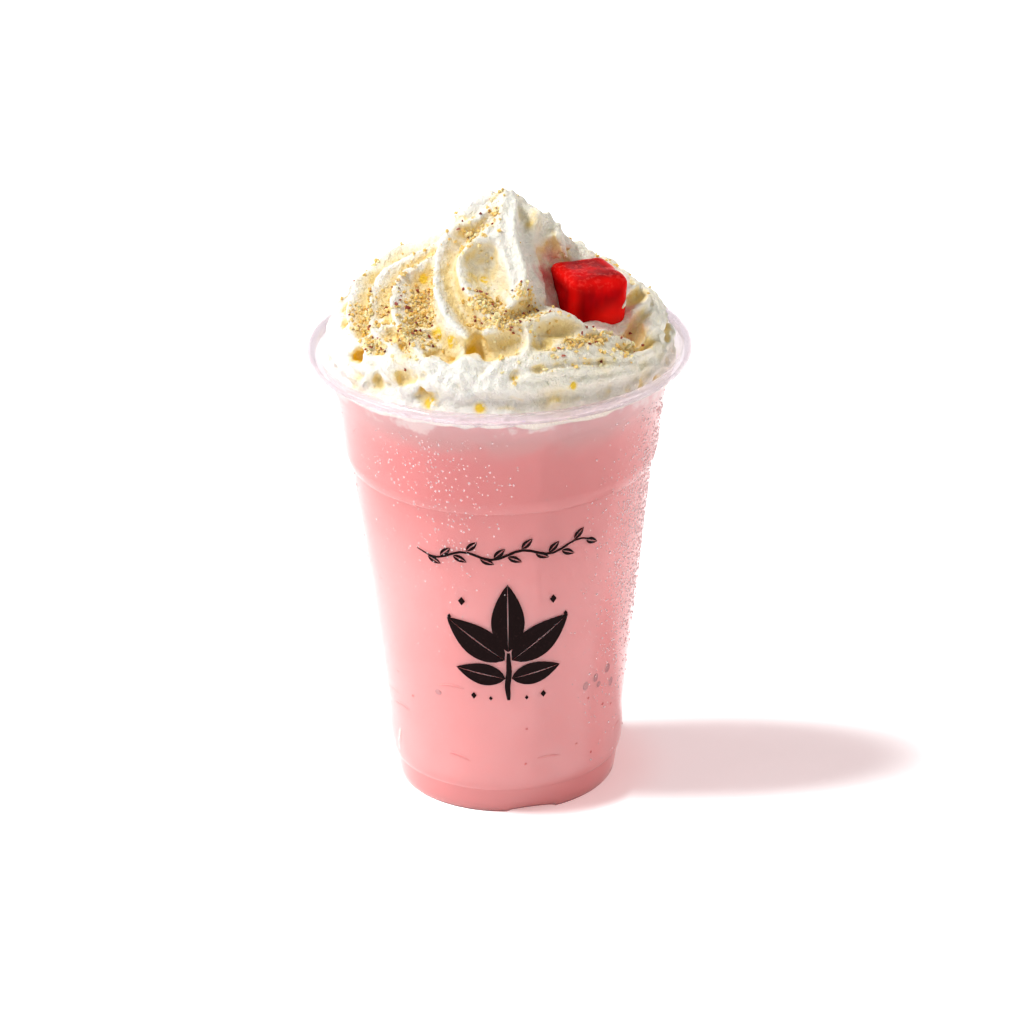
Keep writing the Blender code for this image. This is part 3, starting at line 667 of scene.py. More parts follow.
def shredStations(rng):
    # a short torn scrap of cream that lies along the lip
    share = rng.random()
    middle, half = rng.uniform(0, 360), rng.uniform(2.0, 6.5)
    if abs(middle - cream["band"]) < 26:  # the broad band at the front right stays whole
        share = max(share, 0.64)
    radius, height = 40.0 + 4.8 * share, 132.0 - 10.5 * share ** 1.3 + rng.uniform(-0.6, 1.1)
    size, drop = rng.uniform(*cream["shredSize"]), rng.uniform(-2.2, 2.2)
    return [(middle - half, radius - 0.5, height - 0.8 + drop, size * 0.5),
            (middle - 0.3 * half, radius, height + 0.3 * drop, size),
            (middle + 0.4 * half, radius + 0.3, height - 0.4 * drop, size * rng.uniform(0.7, 1.1)),
            (middle + half, radius - 0.6, height - 0.9 - drop, size * 0.4)]


def jellyBlock(name, grow=0.0):
    pick()
    bpy.ops.mesh.primitive_cube_add(size=(jelly["side"] + 2 * grow) * mm)
    block = bpy.context.object
    block.name = block.data.name = name
    startEdit(block)
    bpy.ops.transform.resize(value=(1.0, 1.0, jelly["tall"]), center_override=(0, 0, 0))
    endEdit()
    addModifier(block, "BEVEL", width=(jelly["round"] + grow) * mm, segments=4, limit_method="NONE")
    applyModifiers(block)
    return block


def setJelly(block):
    block.data.transform(Matrix.Translation(Vector(jelly["place"]) * mm) @ jellyTurn().to_4x4())
    return block


def jellyTurn():
    turn = Matrix.Identity(3)
    for angle, axis in zip(reversed(jelly["turn"]), "ZYX"):
        turn = turn @ Matrix.Rotation(math.radians(angle), 3, axis)
    return turn


def weighPoints(piece, name, weights):
    group = piece.vertex_groups.new(name=name)
    levels = np.round(np.clip(weights, 0, 1) * 20).astype(int)
    for level in range(1, 21):
        group.add(np.nonzero(levels == level)[0].tolist(), level / 20, "REPLACE")


def hiddenShare(piece, reach, rays):
    # how much of what each point looks out on is cream, within a short reach
    places = points(piece)
    normals = np.empty(len(places) * 3)
    piece.data.vertices.foreach_get("normal", normals)
    normals = normals.reshape(-1, 3)
    tree = BVHTree.FromPolygons(places.tolist(), [tuple(face.vertices) for face in piece.data.polygons])
    side = np.cross(normals, np.where(np.abs(normals[:, 2:]) < 0.9, [[0.0, 0, 1]], [[1.0, 0, 0]]))
    side /= np.linalg.norm(side, axis=1, keepdims=True)
    other = np.cross(normals, side)
    starts = (places + normals * 0.15 * mm).tolist()
    hits = np.zeros(len(places))
    for k in range(rays):
        lean = math.radians(20 + 50 * ((k * 0.618) % 1))
        turn = 2 * math.pi * k / rays
        ways = (normals * math.cos(lean) + side * (math.sin(lean) * math.cos(turn))
                + other * (math.sin(lean) * math.sin(turn))).tolist()
        for i, (start, way) in enumerate(zip(starts, ways)):
            distance = tree.ray_cast(start, way, reach)[3]
            if distance is not None:
                hits[i] += 1 - 0.5 * distance / reach
    return hits / rays


def smoothValues(piece, values, times):
    edges = np.empty(len(piece.data.edges) * 2, dtype=int)
    piece.data.edges.foreach_get("vertices", edges)
    a, b = edges.reshape(-1, 2).T
    count = np.bincount(np.concatenate([a, b]), minlength=len(values))
    for _ in range(times):
        total = np.bincount(a, values[b], len(values)) + np.bincount(b, values[a], len(values))
        values = 0.5 * values + 0.5 * total / np.maximum(count, 1)
    return values


def pipeHeap():
    section = nozzleSection()
    rng = random.Random(cream["seed"])
    core = turned("core", cream["mound"], 64)
    places = points(core) / mm
    x, y, wide, deep = cream["dip"]  # room in front of the jelly
    near = np.hypot(places[:, 0] - x, places[:, 1] - y) / wide
    places[:, 2] -= deep * np.clip(1.4 - near, 0, 1) * (places[:, 2] > 115)
    movePoints(core, places * mm)
    swept = [pipeFold(name, stations, section) for name, stations in folds.items()]
    swept += [pipeFold("shred", shredStations(rng), section) for _ in range(cream["shreds"])]
    heap = joinPieces("whippedCream", [core, *swept])
    bpy.data.objects.remove(section)
    bpy.ops.object.transform_apply(location=True, rotation=True, scale=True)
    reskin(heap, cream["voxel"], 2)
    applyModifiers(heap)
    places = points(heap)
    for x, y, wide, deep in cream["settle"]:
        near = np.hypot(places[:, 0] / mm - x, places[:, 1] / mm - y) / wide
        places[:, 2] -= deep * mm * np.clip(1 - near ** 2, 0, 1) ** 2
    movePoints(heap, places)
    return heap


def tearHeap(heap):
    # the lower cream is torn and rough, the piped folds above it stay soft
    places = points(heap)
    reach, high = np.hypot(places[:, 0], places[:, 1]) / mm, places[:, 2] / mm
    torn = fade(reach, *cream["tornFrom"]) * fade(high, *cream["tornBelow"])
    around = np.degrees(np.arctan2(places[:, 1], places[:, 0])) % 360
    inBand = np.clip(1.4 - np.abs(around - cream["band"]) / 24, 0, 1)
    torn *= 1 - cream["wholeShare"] * inBand * fade(high, *cream["wholeAbove"])
    weighPoints(heap, "torn", torn)
    weighPoints(heap, "piped", 1 - 0.5 * torn)
    roughen(heap, "tornEdges", size=2.2, strength=1.7, group="torn")
    roughen(heap, "softUneven", size=2.8, strength=0.95, depth=3, group="piped")
    reskin(heap, cream["voxel"], 1)
    roughen(heap, "roughSkin", size=1.3, strength=0.5)
    applyModifiers(heap)
    return largestShell(heap)


def fitHeap(heap):
    # cut to the inside of the cup and to the seat of the jelly
    heights = (cream["bottom"], 111.5, 113, 114, 115, 116.5, 118, 119.3)
    mouth = turned("mouth", [(0, cream["bottom"]), *[(wallRadius(z, cream["inset"]), z) for z in heights],
                             (cream["edge"], 119.9), (cream["edge"], 175), (0, 175)], 192)
    combine(heap, "INTERSECT", mouth)
    combine(heap, "DIFFERENCE", setJelly(jellyBlock("seat", cream["seatGap"])))
    heap = largestShell(heap)
    startEdit(heap)
    bpy.ops.mesh.remove_doubles(threshold=0.02 * mm)
    endEdit()
    return heap


def nearBall(places, ball):
    # above 1 in the middle of a ball of x, y, z and size, and falling to 0 outside it
    return 1.3 - np.linalg.norm(places - np.array(ball[:3]), axis=1) / ball[3]


def markHeap(heap):
    # where the cream lies in crevices and pockets, for its painted shade and painted glow, and where it is
    # reddened near the jelly or smeared, for its colours
    # how shut in each point is marks the crevices that take painted shade
    hidden = smoothValues(heap, hiddenShare(heap, cream["creviceReach"] * mm, cream["creviceRays"]), 3)
    keepValues(heap, "creviceShade", hidden)
    places = points(heap) / mm
    turn = np.array(jellyTurn())
    beyond = np.maximum(np.abs(places @ turn - np.array(jelly["place"]) @ turn) - jelly["side"] / 2, 0)
    keepValues(heap, "blush", np.clip(1 - np.linalg.norm(beyond, axis=1) / cream["blushReach"], 0, 1))
    uneven = 0.45 * np.array([noise.noise(Vector(place) * 420) for place in points(heap)])
    for name in ("shadePockets", "glow", "smear"):
        near = np.zeros(len(hidden))
        for ball in cream[name]:
            near = np.maximum(near, nearBall(places, ball))
        if name == "shadePockets":  # the painted shade gathers in the valleys
            near = (near + uneven * (near > 0)) * np.clip(0.3 + 2.6 * hidden, 0, 1)
        keepValues(heap, name, np.clip(near, 0, 1))


def creamMaterial():
    material, tree, surface = newMaterial("creamFinish", cream["colour"])
    # painted shade: crevices turn beige, gold further in, and amber in patches of the deepest ones
    creviceShade = attribute(tree, "creviceShade")
    tone = times(tree, mottle(tree, 110.0, 3.0, 0.35, 0.75)["Mask"], 0.35)
    shadeInCrevices = calculate(tree, "ADD", remap(tree, creviceShade, 0.06, 0.36), times(tree, tone, creviceShade))
    # painted shade in the listed pockets, made uneven
    uneven = remap(tree, mottle(tree, 240.0)["Height"], 0.3, 0.6, 0.7, 1.4)
    shadePockets = times(tree, attribute(tree, "shadePockets"), uneven)
    # painted shade: the cream turns warmer beige towards +x, the side turned away from the key light
    shadedSide = remap(tree, alongAxis(tree, 0), *cream["shadedSideZone"])
    glow = times(tree, attribute(tree, "glow"), mottle(tree, 500.0, 2.0, 0.3, 0.55)["Mask"])
    deep = greater(tree, remap(tree, creviceShade, 0.32, 0.75), glow)
    deep = greater(tree, deep, remap(tree, shadePockets, 0.4, 1.4, 0, 0.6))
    # amber patches: painted shade in the deepest crevices, and painted glow at the glow balls
    deepestShadeGlow = times(tree, remap(tree, creviceShade, 0.5, 0.66), mottle(tree, 90.0, 2.0, 0.46, 0.55)["Mask"])
    deepestShadeGlow = greater(tree, deepestShadeGlow, remap(tree, glow, 0.35, 0.8))
    colour = overlay(tree, cream["colour"], (shadedSide, cream["shadedSide"]),
                     (greater(tree, shadeInCrevices, shadePockets), cream["shade"]), (deep, cream["deepShade"]),
                     (deepestShadeGlow, cream["amberShadeGlow"]))
    # painted glow: the deep crevices and the glow balls give off a faint amber light of their own
    glowingShade = greater(tree, remap(tree, creviceShade, 0.4, 0.8), glow)
    shine = mixColours(tree, glowingShade, (0.0, 0.0, 0.0), colour)
    dusted = times(tree, attribute(tree, "dusted"), mottle(tree, 380.0, 3.0, 0.35, 0.6)["Mask"])
    # the cream is reddened close to the jelly and in one smear beside it
    reddenedNearJelly = times(tree, attribute(tree, "blush"), mottle(tree, 170.0, 3.0, 0.35, 0.7)["Mask"])
    smear = times(tree, attribute(tree, "smear"), mottle(tree, 220.0, 3.0, 0.35, 0.6)["Mask"])
    colour = overlay(tree, colour, (dusted, cream["dusted"]), (times(tree, reddenedNearJelly, 0.95), cream["blush"]),
                     (smear, cream["smearColour"]))
    rough = remap(tree, mottle(tree, 300.0)["Height"], 0.3, 0.7, 0.38, 0.6)
    feed(tree, surface, {"Base Color": colour, "Roughness": rough,
                         "Emission Color": shine, "Emission Strength": cream["gleam"]})
    soften(tree, surface, 0.12, 0.0007, (1.0, 0.75, 0.4))
    addBump(tree, surface, (mottle(tree, 420.0, 4.0)["Height"], 1.0, 1.1),
            (mottle(tree, 1500.0, 3.0)["Height"], 1.0, 0.4))
    return material


def makeCream():
    heap = fitHeap(tearHeap(pipeHeap()))
    markHeap(heap)
    finish(heap, creamMaterial())
    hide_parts("cream")
    return heap


whippedCream = makeCream()
creamTree = BVHTree.FromPolygons(points(whippedCream).tolist(),
                                 [tuple(face.vertices) for face in whippedCream.data.polygons])
print("whipped cream ready:", len(whippedCream.data.polygons), "faces")


def jellyMaterial():
    material, tree, surface = newMaterial("redJelly", jelly["red"])
    place = objectPlace(tree)
    drawn = vectors(tree, "MULTIPLY", place, (1.0, 1.0, 0.28))
    streaks = put(tree, "TexNoise", {"Vector": drawn, "Scale": 260.0, "Detail": 2.0}).outputs[0]
    streaks = remap(tree, streaks, 0.35, 0.62, 0.35, 1)
    bands = times(tree, mottle(tree, 95.0, 2.0, 0.3, 0.62)["Mask"], streaks)
    # painted light: the jelly is bright red along its thin edges and round a spot at the lower right
    # corner, where light seems to pass through and gather
    thin = times(tree, attribute(tree, "thin"), 0.75)
    toGlow = vectors(tree, "DISTANCE", place, jelly["glow"], "Value")
    glow = remap(tree, toGlow, jelly["glowFrom"], jelly["glowFull"])
    # the top face is rougher and has lighter specks: real frost, and painted sheen where the top catches
    # the light
    frostAndSheen = times(tree, attribute(tree, "upperFace"), mottle(tree, 800.0, 2.0, 0.52, 0.62)["Mask"])
    colour = overlay(tree, jelly["dark"], (bands, jelly["red"]), (thin, jelly["paintedLightRed"]),
                     (glow, jelly["paintedLightRed"]), (times(tree, frostAndSheen, 0.22), jelly["frostAndSheen"]))
    feed(tree, surface, {"Base Color": colour, "Roughness": remap(tree, frostAndSheen, 0, 1, 0.12, 0.4),
                         "IOR": jelly["ior"], "Specular IOR Level": jelly["specular"]})
    soften(tree, surface, 0.7, 0.006, (1.0, 0.03, 0.03))
    addBump(tree, surface, (mottle(tree, 700.0, 2.0)["Height"], 0.35, 0.2))
    return material


def makeJelly():
    block = jellyBlock("jellyCube")
    reskin(block, jelly["voxel"], 4)
    roughen(block, "jellyUneven", 8.0, jelly["uneven"], middle=0.55)
    roughen(block, "jellyGrain", 1.3, jelly["grain"])
    applyModifiers(block)
    places = points(block) / mm
    keepValues(block, "upperFace", fade(places[:, 2], *jelly["upperFrom"]))
    # how close each point is to an edge of the block, for the painted light along the edges
    toEdge = jelly["side"] / 2 - np.sort(np.abs(places) / (1, 1, jelly["tall"]), axis=1)[:, 1]
    keepValues(block, "thin", np.clip(1 - toEdge / jelly["thin"], 0, 1))
    setJelly(block)
    finish(block, jellyMaterial())
    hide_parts("jelly")
    return block


jellyCube = makeJelly()
print("jelly ready:", len(jellyCube.data.polygons), "faces")

# chopped nuts on the cream: azimuth, radius, spread around and outward in mm, and how many crumbs
nuts = {
    "patches": [(221, 28.0, 2.0, 1.9, 250), (228, 32.0, 1.6, 1.5, 190), (231, 36.4, 1.6, 1.1, 110),
                (240, 36.5, 2.0, 0.9, 16), (199, 35.6, 1.6, 1.3, 190), (206, 37.8, 1.6, 1.1, 160),
                (220, 40.7, 2.0, 0.8, 90), (208, 32.3, 2.0, 1.6, 40), (214, 36, 3.0, 1.4, 36),
                (262, 28.6, 2.0, 1.4, 120), (268, 31.0, 2.2, 1.4, 150), (272, 33.0, 2.2, 1.0, 60),
                (285, 27.8, 1.6, 1.6, 90), (293, 31.5, 2.6, 1.6, 30), (284, 33.2, 2.4, 1.0, 22),
                (304, 38.2, 7.0, 0.7, 110), (235, 16, 3.2, 2.2, 70), (262, 9.5, 2.0, 3.2, 34),
                (203, 23.5, 2.6, 2.6, 24), (232, 40.5, 5.0, 1.0, 20), (60, 24, 9, 7, 190),
                (118, 30, 8, 6, 170), (160, 35, 6, 3, 60), (18, 34, 5, 3, 60), (290, 41, 8, 1.5, 30),
                (322, 42.2, 4, 1.2, 44)],
    "size": (0.22, 0.62), "large": 1.8, "skins": 210, "skinSize": (0.26, 0.58), "dust": 1300,
    "dustSize": (0.08, 0.18),
    "floor": 123.0, "seed": 5, "share": 0.8,
    "meat": (0.95, 0.63, 0.21), "pale": (0.97, 0.84, 0.50), "toasted": (0.74, 0.47, 0.13), "dusting": 1.5,
    "skin": (0.26, 0.035, 0.015), "paleSkin": (0.36, 0.07, 0.03), "darkSkin": (0.12, 0.02, 0.012),
}


def grains(name, faces, count, seed):
    # a few irregular chips that the scattered copies are made from
    made = []
    for i in range(count):
        pick()
        bpy.ops.mesh.primitive_ico_sphere_add(subdivisions=2 if faces > 20 else 1, radius=1.0)
        chip = bpy.context.object
        chip.name = chip.data.name = name + str(i)
        startEdit(chip)
        bpy.ops.transform.vertex_random(offset=0.42, uniform=0.6, normal=0.5, seed=seed + i)
        bpy.ops.mesh.normals_make_consistent(inside=False)
        endEdit()
        if faces > 20:
            addModifier(chip, "DECIMATE", ratio=faces / 80)
            applyModifiers(chip)
        made.append(chip)
    return made


def scatter(name, chips, places):
    # one mesh of copies, each with its own place and its own tone
    vertices, faces, tones, offset = [], [], [], 0
    shapes = [(points(chip), [tuple(face.vertices) for face in chip.data.polygons]) for chip in chips]
    for matrix, kind, tone in places:
        shape, sides = shapes[kind % len(shapes)]
        turn = np.array(matrix)
        vertices.append(shape @ turn[:3, :3].T + turn[:3, 3])
        faces += [tuple(i + offset for i in side) for side in sides]
        tones.append(np.full(len(shape), tone))
        offset += len(shape)
    mesh = bpy.data.meshes.new(name)
    mesh.from_pydata(np.concatenate(vertices).tolist(), [], faces)
    piece = bpy.data.objects.new(name, mesh)
    bpy.context.scene.collection.objects.link(piece)
    keepValues(piece, "tone", np.concatenate(tones))
    for chip in chips:
        bpy.data.objects.remove(chip)
    return piece


def onCream(azimuth, radius, rng, lean):
    # where a crumb that comes in towards the mound lands on the cream, and the way out there
    place = aroundCup(azimuth, radius, 170 - 0.95 * radius) * mm
    out = (moundNormal(place / mm) + Vector([rng.uniform(-lean, lean) for _ in range(3)])).normalized()
    hit, normal = creamTree.ray_cast(place + out * 0.03, -out)[:2]
    if hit is None or hit.z < nuts["floor"] * mm or normal.dot(out) < 0.1:
        return None
    if (hit / mm - Vector(jelly["place"])).length < jelly["side"] * 0.62:
        return None
    return hit, normal


def crumbPlaces(rng, patches, sizes, large, sink):
    found = []
    for azimuth, radius, around, outward, count in patches:
        for _ in range(count):
            off = math.degrees(rng.gauss(0, around) / max(radius, 6))
            if rng.random() > nuts["share"]:
                continue
            spot = onCream(azimuth + off, max(0.5, radius + rng.gauss(0, outward)), rng, 0.25)
            size = rng.uniform(*sizes) * (rng.uniform(1.0, large) if rng.random() < 0.12 else 1.0) * mm
            turn = Matrix.Rotation(rng.uniform(0, 6.28), 4, Vector([rng.uniform(-1, 1) for _ in range(3)]))
            wide, high = size * rng.uniform(0.65, 1.0), size * rng.uniform(0.5, 0.85)
            shape = Matrix.Diagonal((size, wide, high, 1.0))
            tone, kind = rng.random(), rng.randrange(8)
            if spot:
                place = Matrix.Translation(spot[0] + spot[1] * size * sink)
                found.append((place @ turn @ shape, kind, tone))
    return found


def nutMaterial(name, first, second, third):
    material, tree, surface = newMaterial(name, first)
    tone, grain = attribute(tree, "tone"), mottle(tree, 900.0, 3.0, 0.35, 0.7)
    dark = times(tree, remap(tree, tone, 0.3, 0.05), 0.8)
    colour = overlay(tree, first, (remap(tree, tone, 0.35, 0.9), second), (dark, third),
                     (times(tree, grain["Mask"], 0.22), third))
    feed(tree, surface, {"Base Color": colour, "Roughness": 0.6})
    soften(tree, surface, 0.4, 0.001, (1.0, 0.6, 0.25))
    addBump(tree, surface, (grain["Height"], 0.4, 0.12))
    return material


def makeNuts():
    rng = random.Random(nuts["seed"])
    whole = crumbPlaces(rng, nuts["patches"], nuts["size"], nuts["large"], 0.3)
    crumbs = scatter("nutCrumbs", grains("crumb", faces=40, count=5, seed=1), whole)
    total = sum(patch[4] for patch in nuts["patches"])
    thin = [(a, r, u * 1.3, v * 1.3, max(1, round(n * nuts["skins"] / total)))
            for a, r, u, v, n in nuts["patches"]]
    flakes = crumbPlaces(rng, thin, nuts["skinSize"], 1.5, 0.5)
    skins = scatter("nutSkins", grains("skin", faces=20, count=3, seed=9), flakes)
    wide = [(a, r, u * 1.8, v * 1.6, round(n * nuts["dust"] / total)) for a, r, u, v, n in nuts["patches"]]
    fine = crumbPlaces(rng, wide, nuts["dustSize"], 1.6, 0.4)
    dust = scatter("nutDust", grains("dust", faces=20, count=3, seed=17), fine)
    lying = KDTree(len(whole))
    for i, crumb in enumerate(whole):
        lying.insert(crumb[0].translation, i)
    lying.balance()
    reach = nuts["dusting"] * mm
    dusted = [sum(1 - found[2] / reach for found in lying.find_range(place, reach))
              for place in points(whippedCream).tolist()]
    keepValues(whippedCream, "dusted", np.clip(np.array(dusted) / 3.0, 0, 0.8))
    meat = nutMaterial("nutMeat", nuts["meat"], nuts["pale"], nuts["toasted"])
    finish(crumbs, meat, 50)
    finish(dust, meat, 50)
    finish(skins, nutMaterial("nutSkin", nuts["skin"], nuts["paleSkin"], nuts["darkSkin"]), 50)
    print("nuts ready:", len(whole), "crumbs")


makeNuts()


# helpers for what lies on or in the wall: flat shapes in mm, wrapped round it


def wrapOnWall(piece, azimuth, middle, proud):
    places = points(piece) / mm
    for place in places:
        height = middle + place[1]
        radius = wallRadius(height, -proud) + place[2]
        around = math.radians(azimuth) + place[0] / wallRadius(height)
        place[:] = radius * math.cos(around), radius * math.sin(around), height
    movePoints(piece, places * mm)


# a generic leaf print in black on the shown side
printing = {
    "azimuth": 271.5, "middle": 52.5, "vein": 0.36,
    "leaves": [(0, -3.0, 20.0, 4.1, 90), (0.9, -5.5, 19.0, 4.3, 38), (0.8, -11.0, 13.0, 3.0, 12)],
    "stem": [(0, -17.5), (-0.3, -13.5), (0.15, -9.0), (0, -3.4)],
    "diamonds": [(11.8, 11.6, 2.2), (15.2, 6.6, 1.4), (9.0, -16.4, 1.8), (4.6, -17.0, 1.2)],
    "vine": {"middle": 25.6, "sway": 1.1, "bend": 0.42, "slope": 0.05, "half": 24, "width": 0.7,
             "leaves": 13},
    "ink": (0.007, 0.002, 0.002), "wornInk": (0.025, 0.012, 0.012), "specular": 0.04, "thick": 0.05,
}


def flatGrid(along, across):
    # a flat grid from -1 to 1 and its points, for a shape of ink
    pick()
    bpy.ops.mesh.primitive_grid_add(x_subdivisions=along, y_subdivisions=across, size=2 * mm)
    piece = bpy.context.object
    return piece, points(piece) / mm


def blade(length, width, x, y, turn, side):
    # half of a pointed leaf, on one side of its midrib
    leaf, places = flatGrid(14, 3)
    along, across = np.clip((places[:, 0] + 1) / 2, 0, 1), (places[:, 1] + 1) / 2
    reach = width * np.clip(np.sin(math.pi * along ** 0.8), 0, 1) ** 0.85
    x0, y0 = length * along, side * (printing["vein"] / 2 * np.sin(math.pi * along) + across * reach)
    c, k = math.cos(math.radians(turn)), math.sin(math.radians(turn))
    movePoints(leaf, np.stack([x + c * x0 - k * y0, y + k * x0 + c * y0, np.zeros(len(along))], 1) * mm)
    return leaf


def strip(route, width):
    # a flat ribbon of ink along a route of x, y stops
    ribbon, places = flatGrid(len(route) * 4, 1)
    share = (places[:, 0] + 1) / 2 * (len(route) - 1)
    stops = np.arange(len(route))
    ahead, behind, (x, y) = ([np.interp(share + shift, stops, [stop[i] for stop in route]) for i in (0, 1)]
                             for shift in (0.05, -0.05, 0))
    dx, dy = ahead[0] - behind[0], ahead[1] - behind[1]
    size = np.hypot(dx, dy)
    taper = 0.35 + 0.65 * np.sin(math.pi * np.clip(share / (len(route) - 1), 0.02, 0.98)) ** 0.5
    off = places[:, 1] * width / 2 * taper
    movePoints(ribbon, np.stack([x - dy / size * off, y + dx / size * off, 0 * x], 1) * mm)
    return ribbon


def diamond(x, y, high):
    shape, places = flatGrid(4, 4)
    a, b = places[:, 0], places[:, 1]
    movePoints(shape, np.stack([x + (a - b) * high * 0.21, y + (a + b) * high * 0.29, 0 * a], 1) * mm)
    return shape


def vineHeight(x):
    vine = printing["vine"]
    return vine["middle"] + vine["sway"] * math.sin(x * vine["bend"]) + vine["slope"] * x


def makePrint():
    shapes = [strip(printing["stem"], 1.5)]
    for x, y, length, width, turn in printing["leaves"]:
        for side in (1, -1) if x else (1,):
            for part in (1, -1):
                leaf = blade(length, width, x, y, turn, part)
                if side < 0:
                    movePoints(leaf, points(leaf) * np.array([-1, 1, 1]))
                shapes.append(leaf)
    shapes += [diamond(x * side, y, high) for x, y, high in printing["diamonds"] for side in (1, -1)]
    vine = printing["vine"]
    half = vine["half"]
    shapes.append(strip([(x, vineHeight(x)) for x in np.linspace(-half, half, half + 1)], vine["width"]))
    for k, x in enumerate(np.linspace(3 - half, half - 3, vine["leaves"])):
        up = 1 if k % 2 else -1
        for part in (1, -1):
            shapes.append(blade(3.9, 0.75, x + 0.2, vineHeight(x) + 0.5 * up, 34 * up + 10, part))
    motif = joinPieces("printMotif", shapes)
    startEdit(motif)
    bpy.ops.mesh.remove_doubles(threshold=0.002 * mm)
    bpy.ops.mesh.normals_make_consistent(inside=False)
    endEdit()
    bm = bmesh.new()
    bm.from_mesh(motif.data)
    bmesh.ops.reverse_faces(bm, faces=[face for face in bm.faces if face.normal.z < 0])
    bm.to_mesh(motif.data)
    bm.free()
    addModifier(motif, "SOLIDIFY", thickness=printing["thick"] * mm, offset=1.0)
    applyModifiers(motif)
    wrapOnWall(motif, printing["azimuth"], printing["middle"], 0.01)
    material, tree, surface = newMaterial("blackInk", printing["ink"])
    grain = mottle(tree, 1800.0, 3.0, 0.55, 0.75)
    colour = mixColours(tree, grain["Mask"], printing["ink"], printing["wornInk"])
    rough = remap(tree, grain["Height"], 0.3, 0.7, 0.5, 0.7)
    feed(tree, surface, {"Base Color": colour, "Roughness": rough,
                         "Specular IOR Level": printing["specular"]})
    addBump(tree, surface, (grain["Height"], 0.2, 0.05))
    finish(motif, material, 60)
    print("print ready")


makePrint()

# what shows dimly in the milk against the wall: noodles, red specks and soaked seeds, as azimuth and height
sunk = {
    "noodles": [(247, 16.5, 6.2, -14), (291, 16.2, 6.8, -3), (245, 37.5, 7.4, 2), (203, 28.5, 9.0, 8),
                (211, 25.5, 8.0, 3), (30, 22, 8.0, 12), (75, 34, 7.0, -8), (118, 15, 8.0, 6),
                (150, 30, 7.5, -12), (340, 16, 6.0, 4)],
    "pale": [(194, 20, 12.0, 62), (186, 33, 9.0, 70), (206, 14, 8.0, 78), (95, 22, 9.0, 64),
             (135, 26, 8.0, 74)],
    "specks": [(279.7, 25.7), (279.2, 15.2), (306, 18), (315.5, 13.7), (311.7, 30.7), (322.5, 26.5),
               (330.2, 24.7), (212, 36), (222, 31), (60, 24), (92, 14), (160, 20), (130, 38), (15, 30)],
    "seeds": [(323.7, 37), (327.7, 32), (315.5, 36), (309.5, 34.7), (238, 35), (318, 33.5), (100, 30),
              (50, 38), (170, 33)],
    "depth": 0.34, "noodleRadius": 0.34, "paleRadius": 0.75, "seedThickness": 0.11, "seed": 3,
    "noodleColours": ((0.83, 0.27, 0.26), (0.88, 0.33, 0.32)),
    "paleColours": ((0.95, 0.62, 0.60), (0.93, 0.54, 0.52)),
    "speckColours": ((0.62, 0.10, 0.09), (0.75, 0.2, 0.18)),
    "seedColours": ((0.55, 0.22, 0.23), (0.66, 0.30, 0.31)),
}


def sunkMaterial(name, colour, deep):
    material, tree, surface = newMaterial(name, colour)
    mixed = mixColours(tree, mottle(tree, 500.0)["Mask"], colour, deep)
    feed(tree, surface, {"Base Color": mixed, "Roughness": 0.55, "Specular IOR Level": 0.1})
    soften(tree, surface, 0.3, 0.001)
    addBump(tree, surface, (mottle(tree, 900.0)["Height"], 0.2, 0.08))
    return material


def noodle(azimuth, height, length, lean, radius):
    # a round strand pressed flat against the wall, with tapered ends
    pick()
    bpy.ops.mesh.primitive_cylinder_add(vertices=10, radius=mm, depth=2 * mm, end_fill_type="TRIFAN")
    strand = bpy.context.object
    startEdit(strand)
    for i in range(1, 12):
        bpy.ops.mesh.select_all(action="SELECT")
        bpy.ops.mesh.bisect(plane_co=(0, 0, (i / 6 - 1) * mm), plane_no=(0, 0, 1))
    endEdit()
    places = points(strand) / mm
    share = places[:, 2]
    size = radius * np.sqrt(np.clip(1.02 - share ** 4, 0.02, 1))
    turn = math.radians(lean)
    x0 = share * length / 2
    y0 = places[:, 1] * size + 0.06 * length * np.cos(share * 1.6)
    flat = np.stack([x0 * math.cos(turn) - y0 * math.sin(turn), x0 * math.sin(turn) + y0 * math.cos(turn),
                     places[:, 0] * size * 0.5 - sunk["depth"]], 1)
    movePoints(strand, flat * mm)
    wrapOnWall(strand, azimuth, height, 0.0)
    return strand


def bead(azimuth, height, wide, high, thick=0.26):
    pick()
    bpy.ops.mesh.primitive_uv_sphere_add(segments=14, ring_count=9, radius=mm)
    seed = bpy.context.object
    places = points(seed) / mm * np.array([wide, high, thick]) - np.array([0, 0, sunk["depth"]])
    movePoints(seed, places * mm)
    wrapOnWall(seed, azimuth, height, 0.0)
    return seed


def makeSunk():
    rng = random.Random(sunk["seed"])
    thin = [noodle(*values, sunk["noodleRadius"]) for values in sunk["noodles"]]
    finish(joinPieces("vermicelli", thin), sunkMaterial("noodleRose", *sunk["noodleColours"]))
    broad = [noodle(*values, sunk["paleRadius"]) for values in sunk["pale"]]
    finish(joinPieces("paleVermicelli", broad), sunkMaterial("noodlePale", *sunk["paleColours"]))
    specks = [bead(*place, rng.uniform(0.3, 0.5), rng.uniform(0.28, 0.42)) for place in sunk["specks"]]
    finish(joinPieces("roseSpecks", specks), sunkMaterial("speckRose", *sunk["speckColours"]))
    seeds = [bead(*place, rng.uniform(0.7, 1.1), rng.uniform(0.8, 1.4), sunk["seedThickness"])
             for place in sunk["seeds"]]
    finish(joinPieces("basilSeeds", seeds), sunkMaterial("seedGrey", *sunk["seedColours"]))
    print("noodles and seeds ready")


makeSunk()

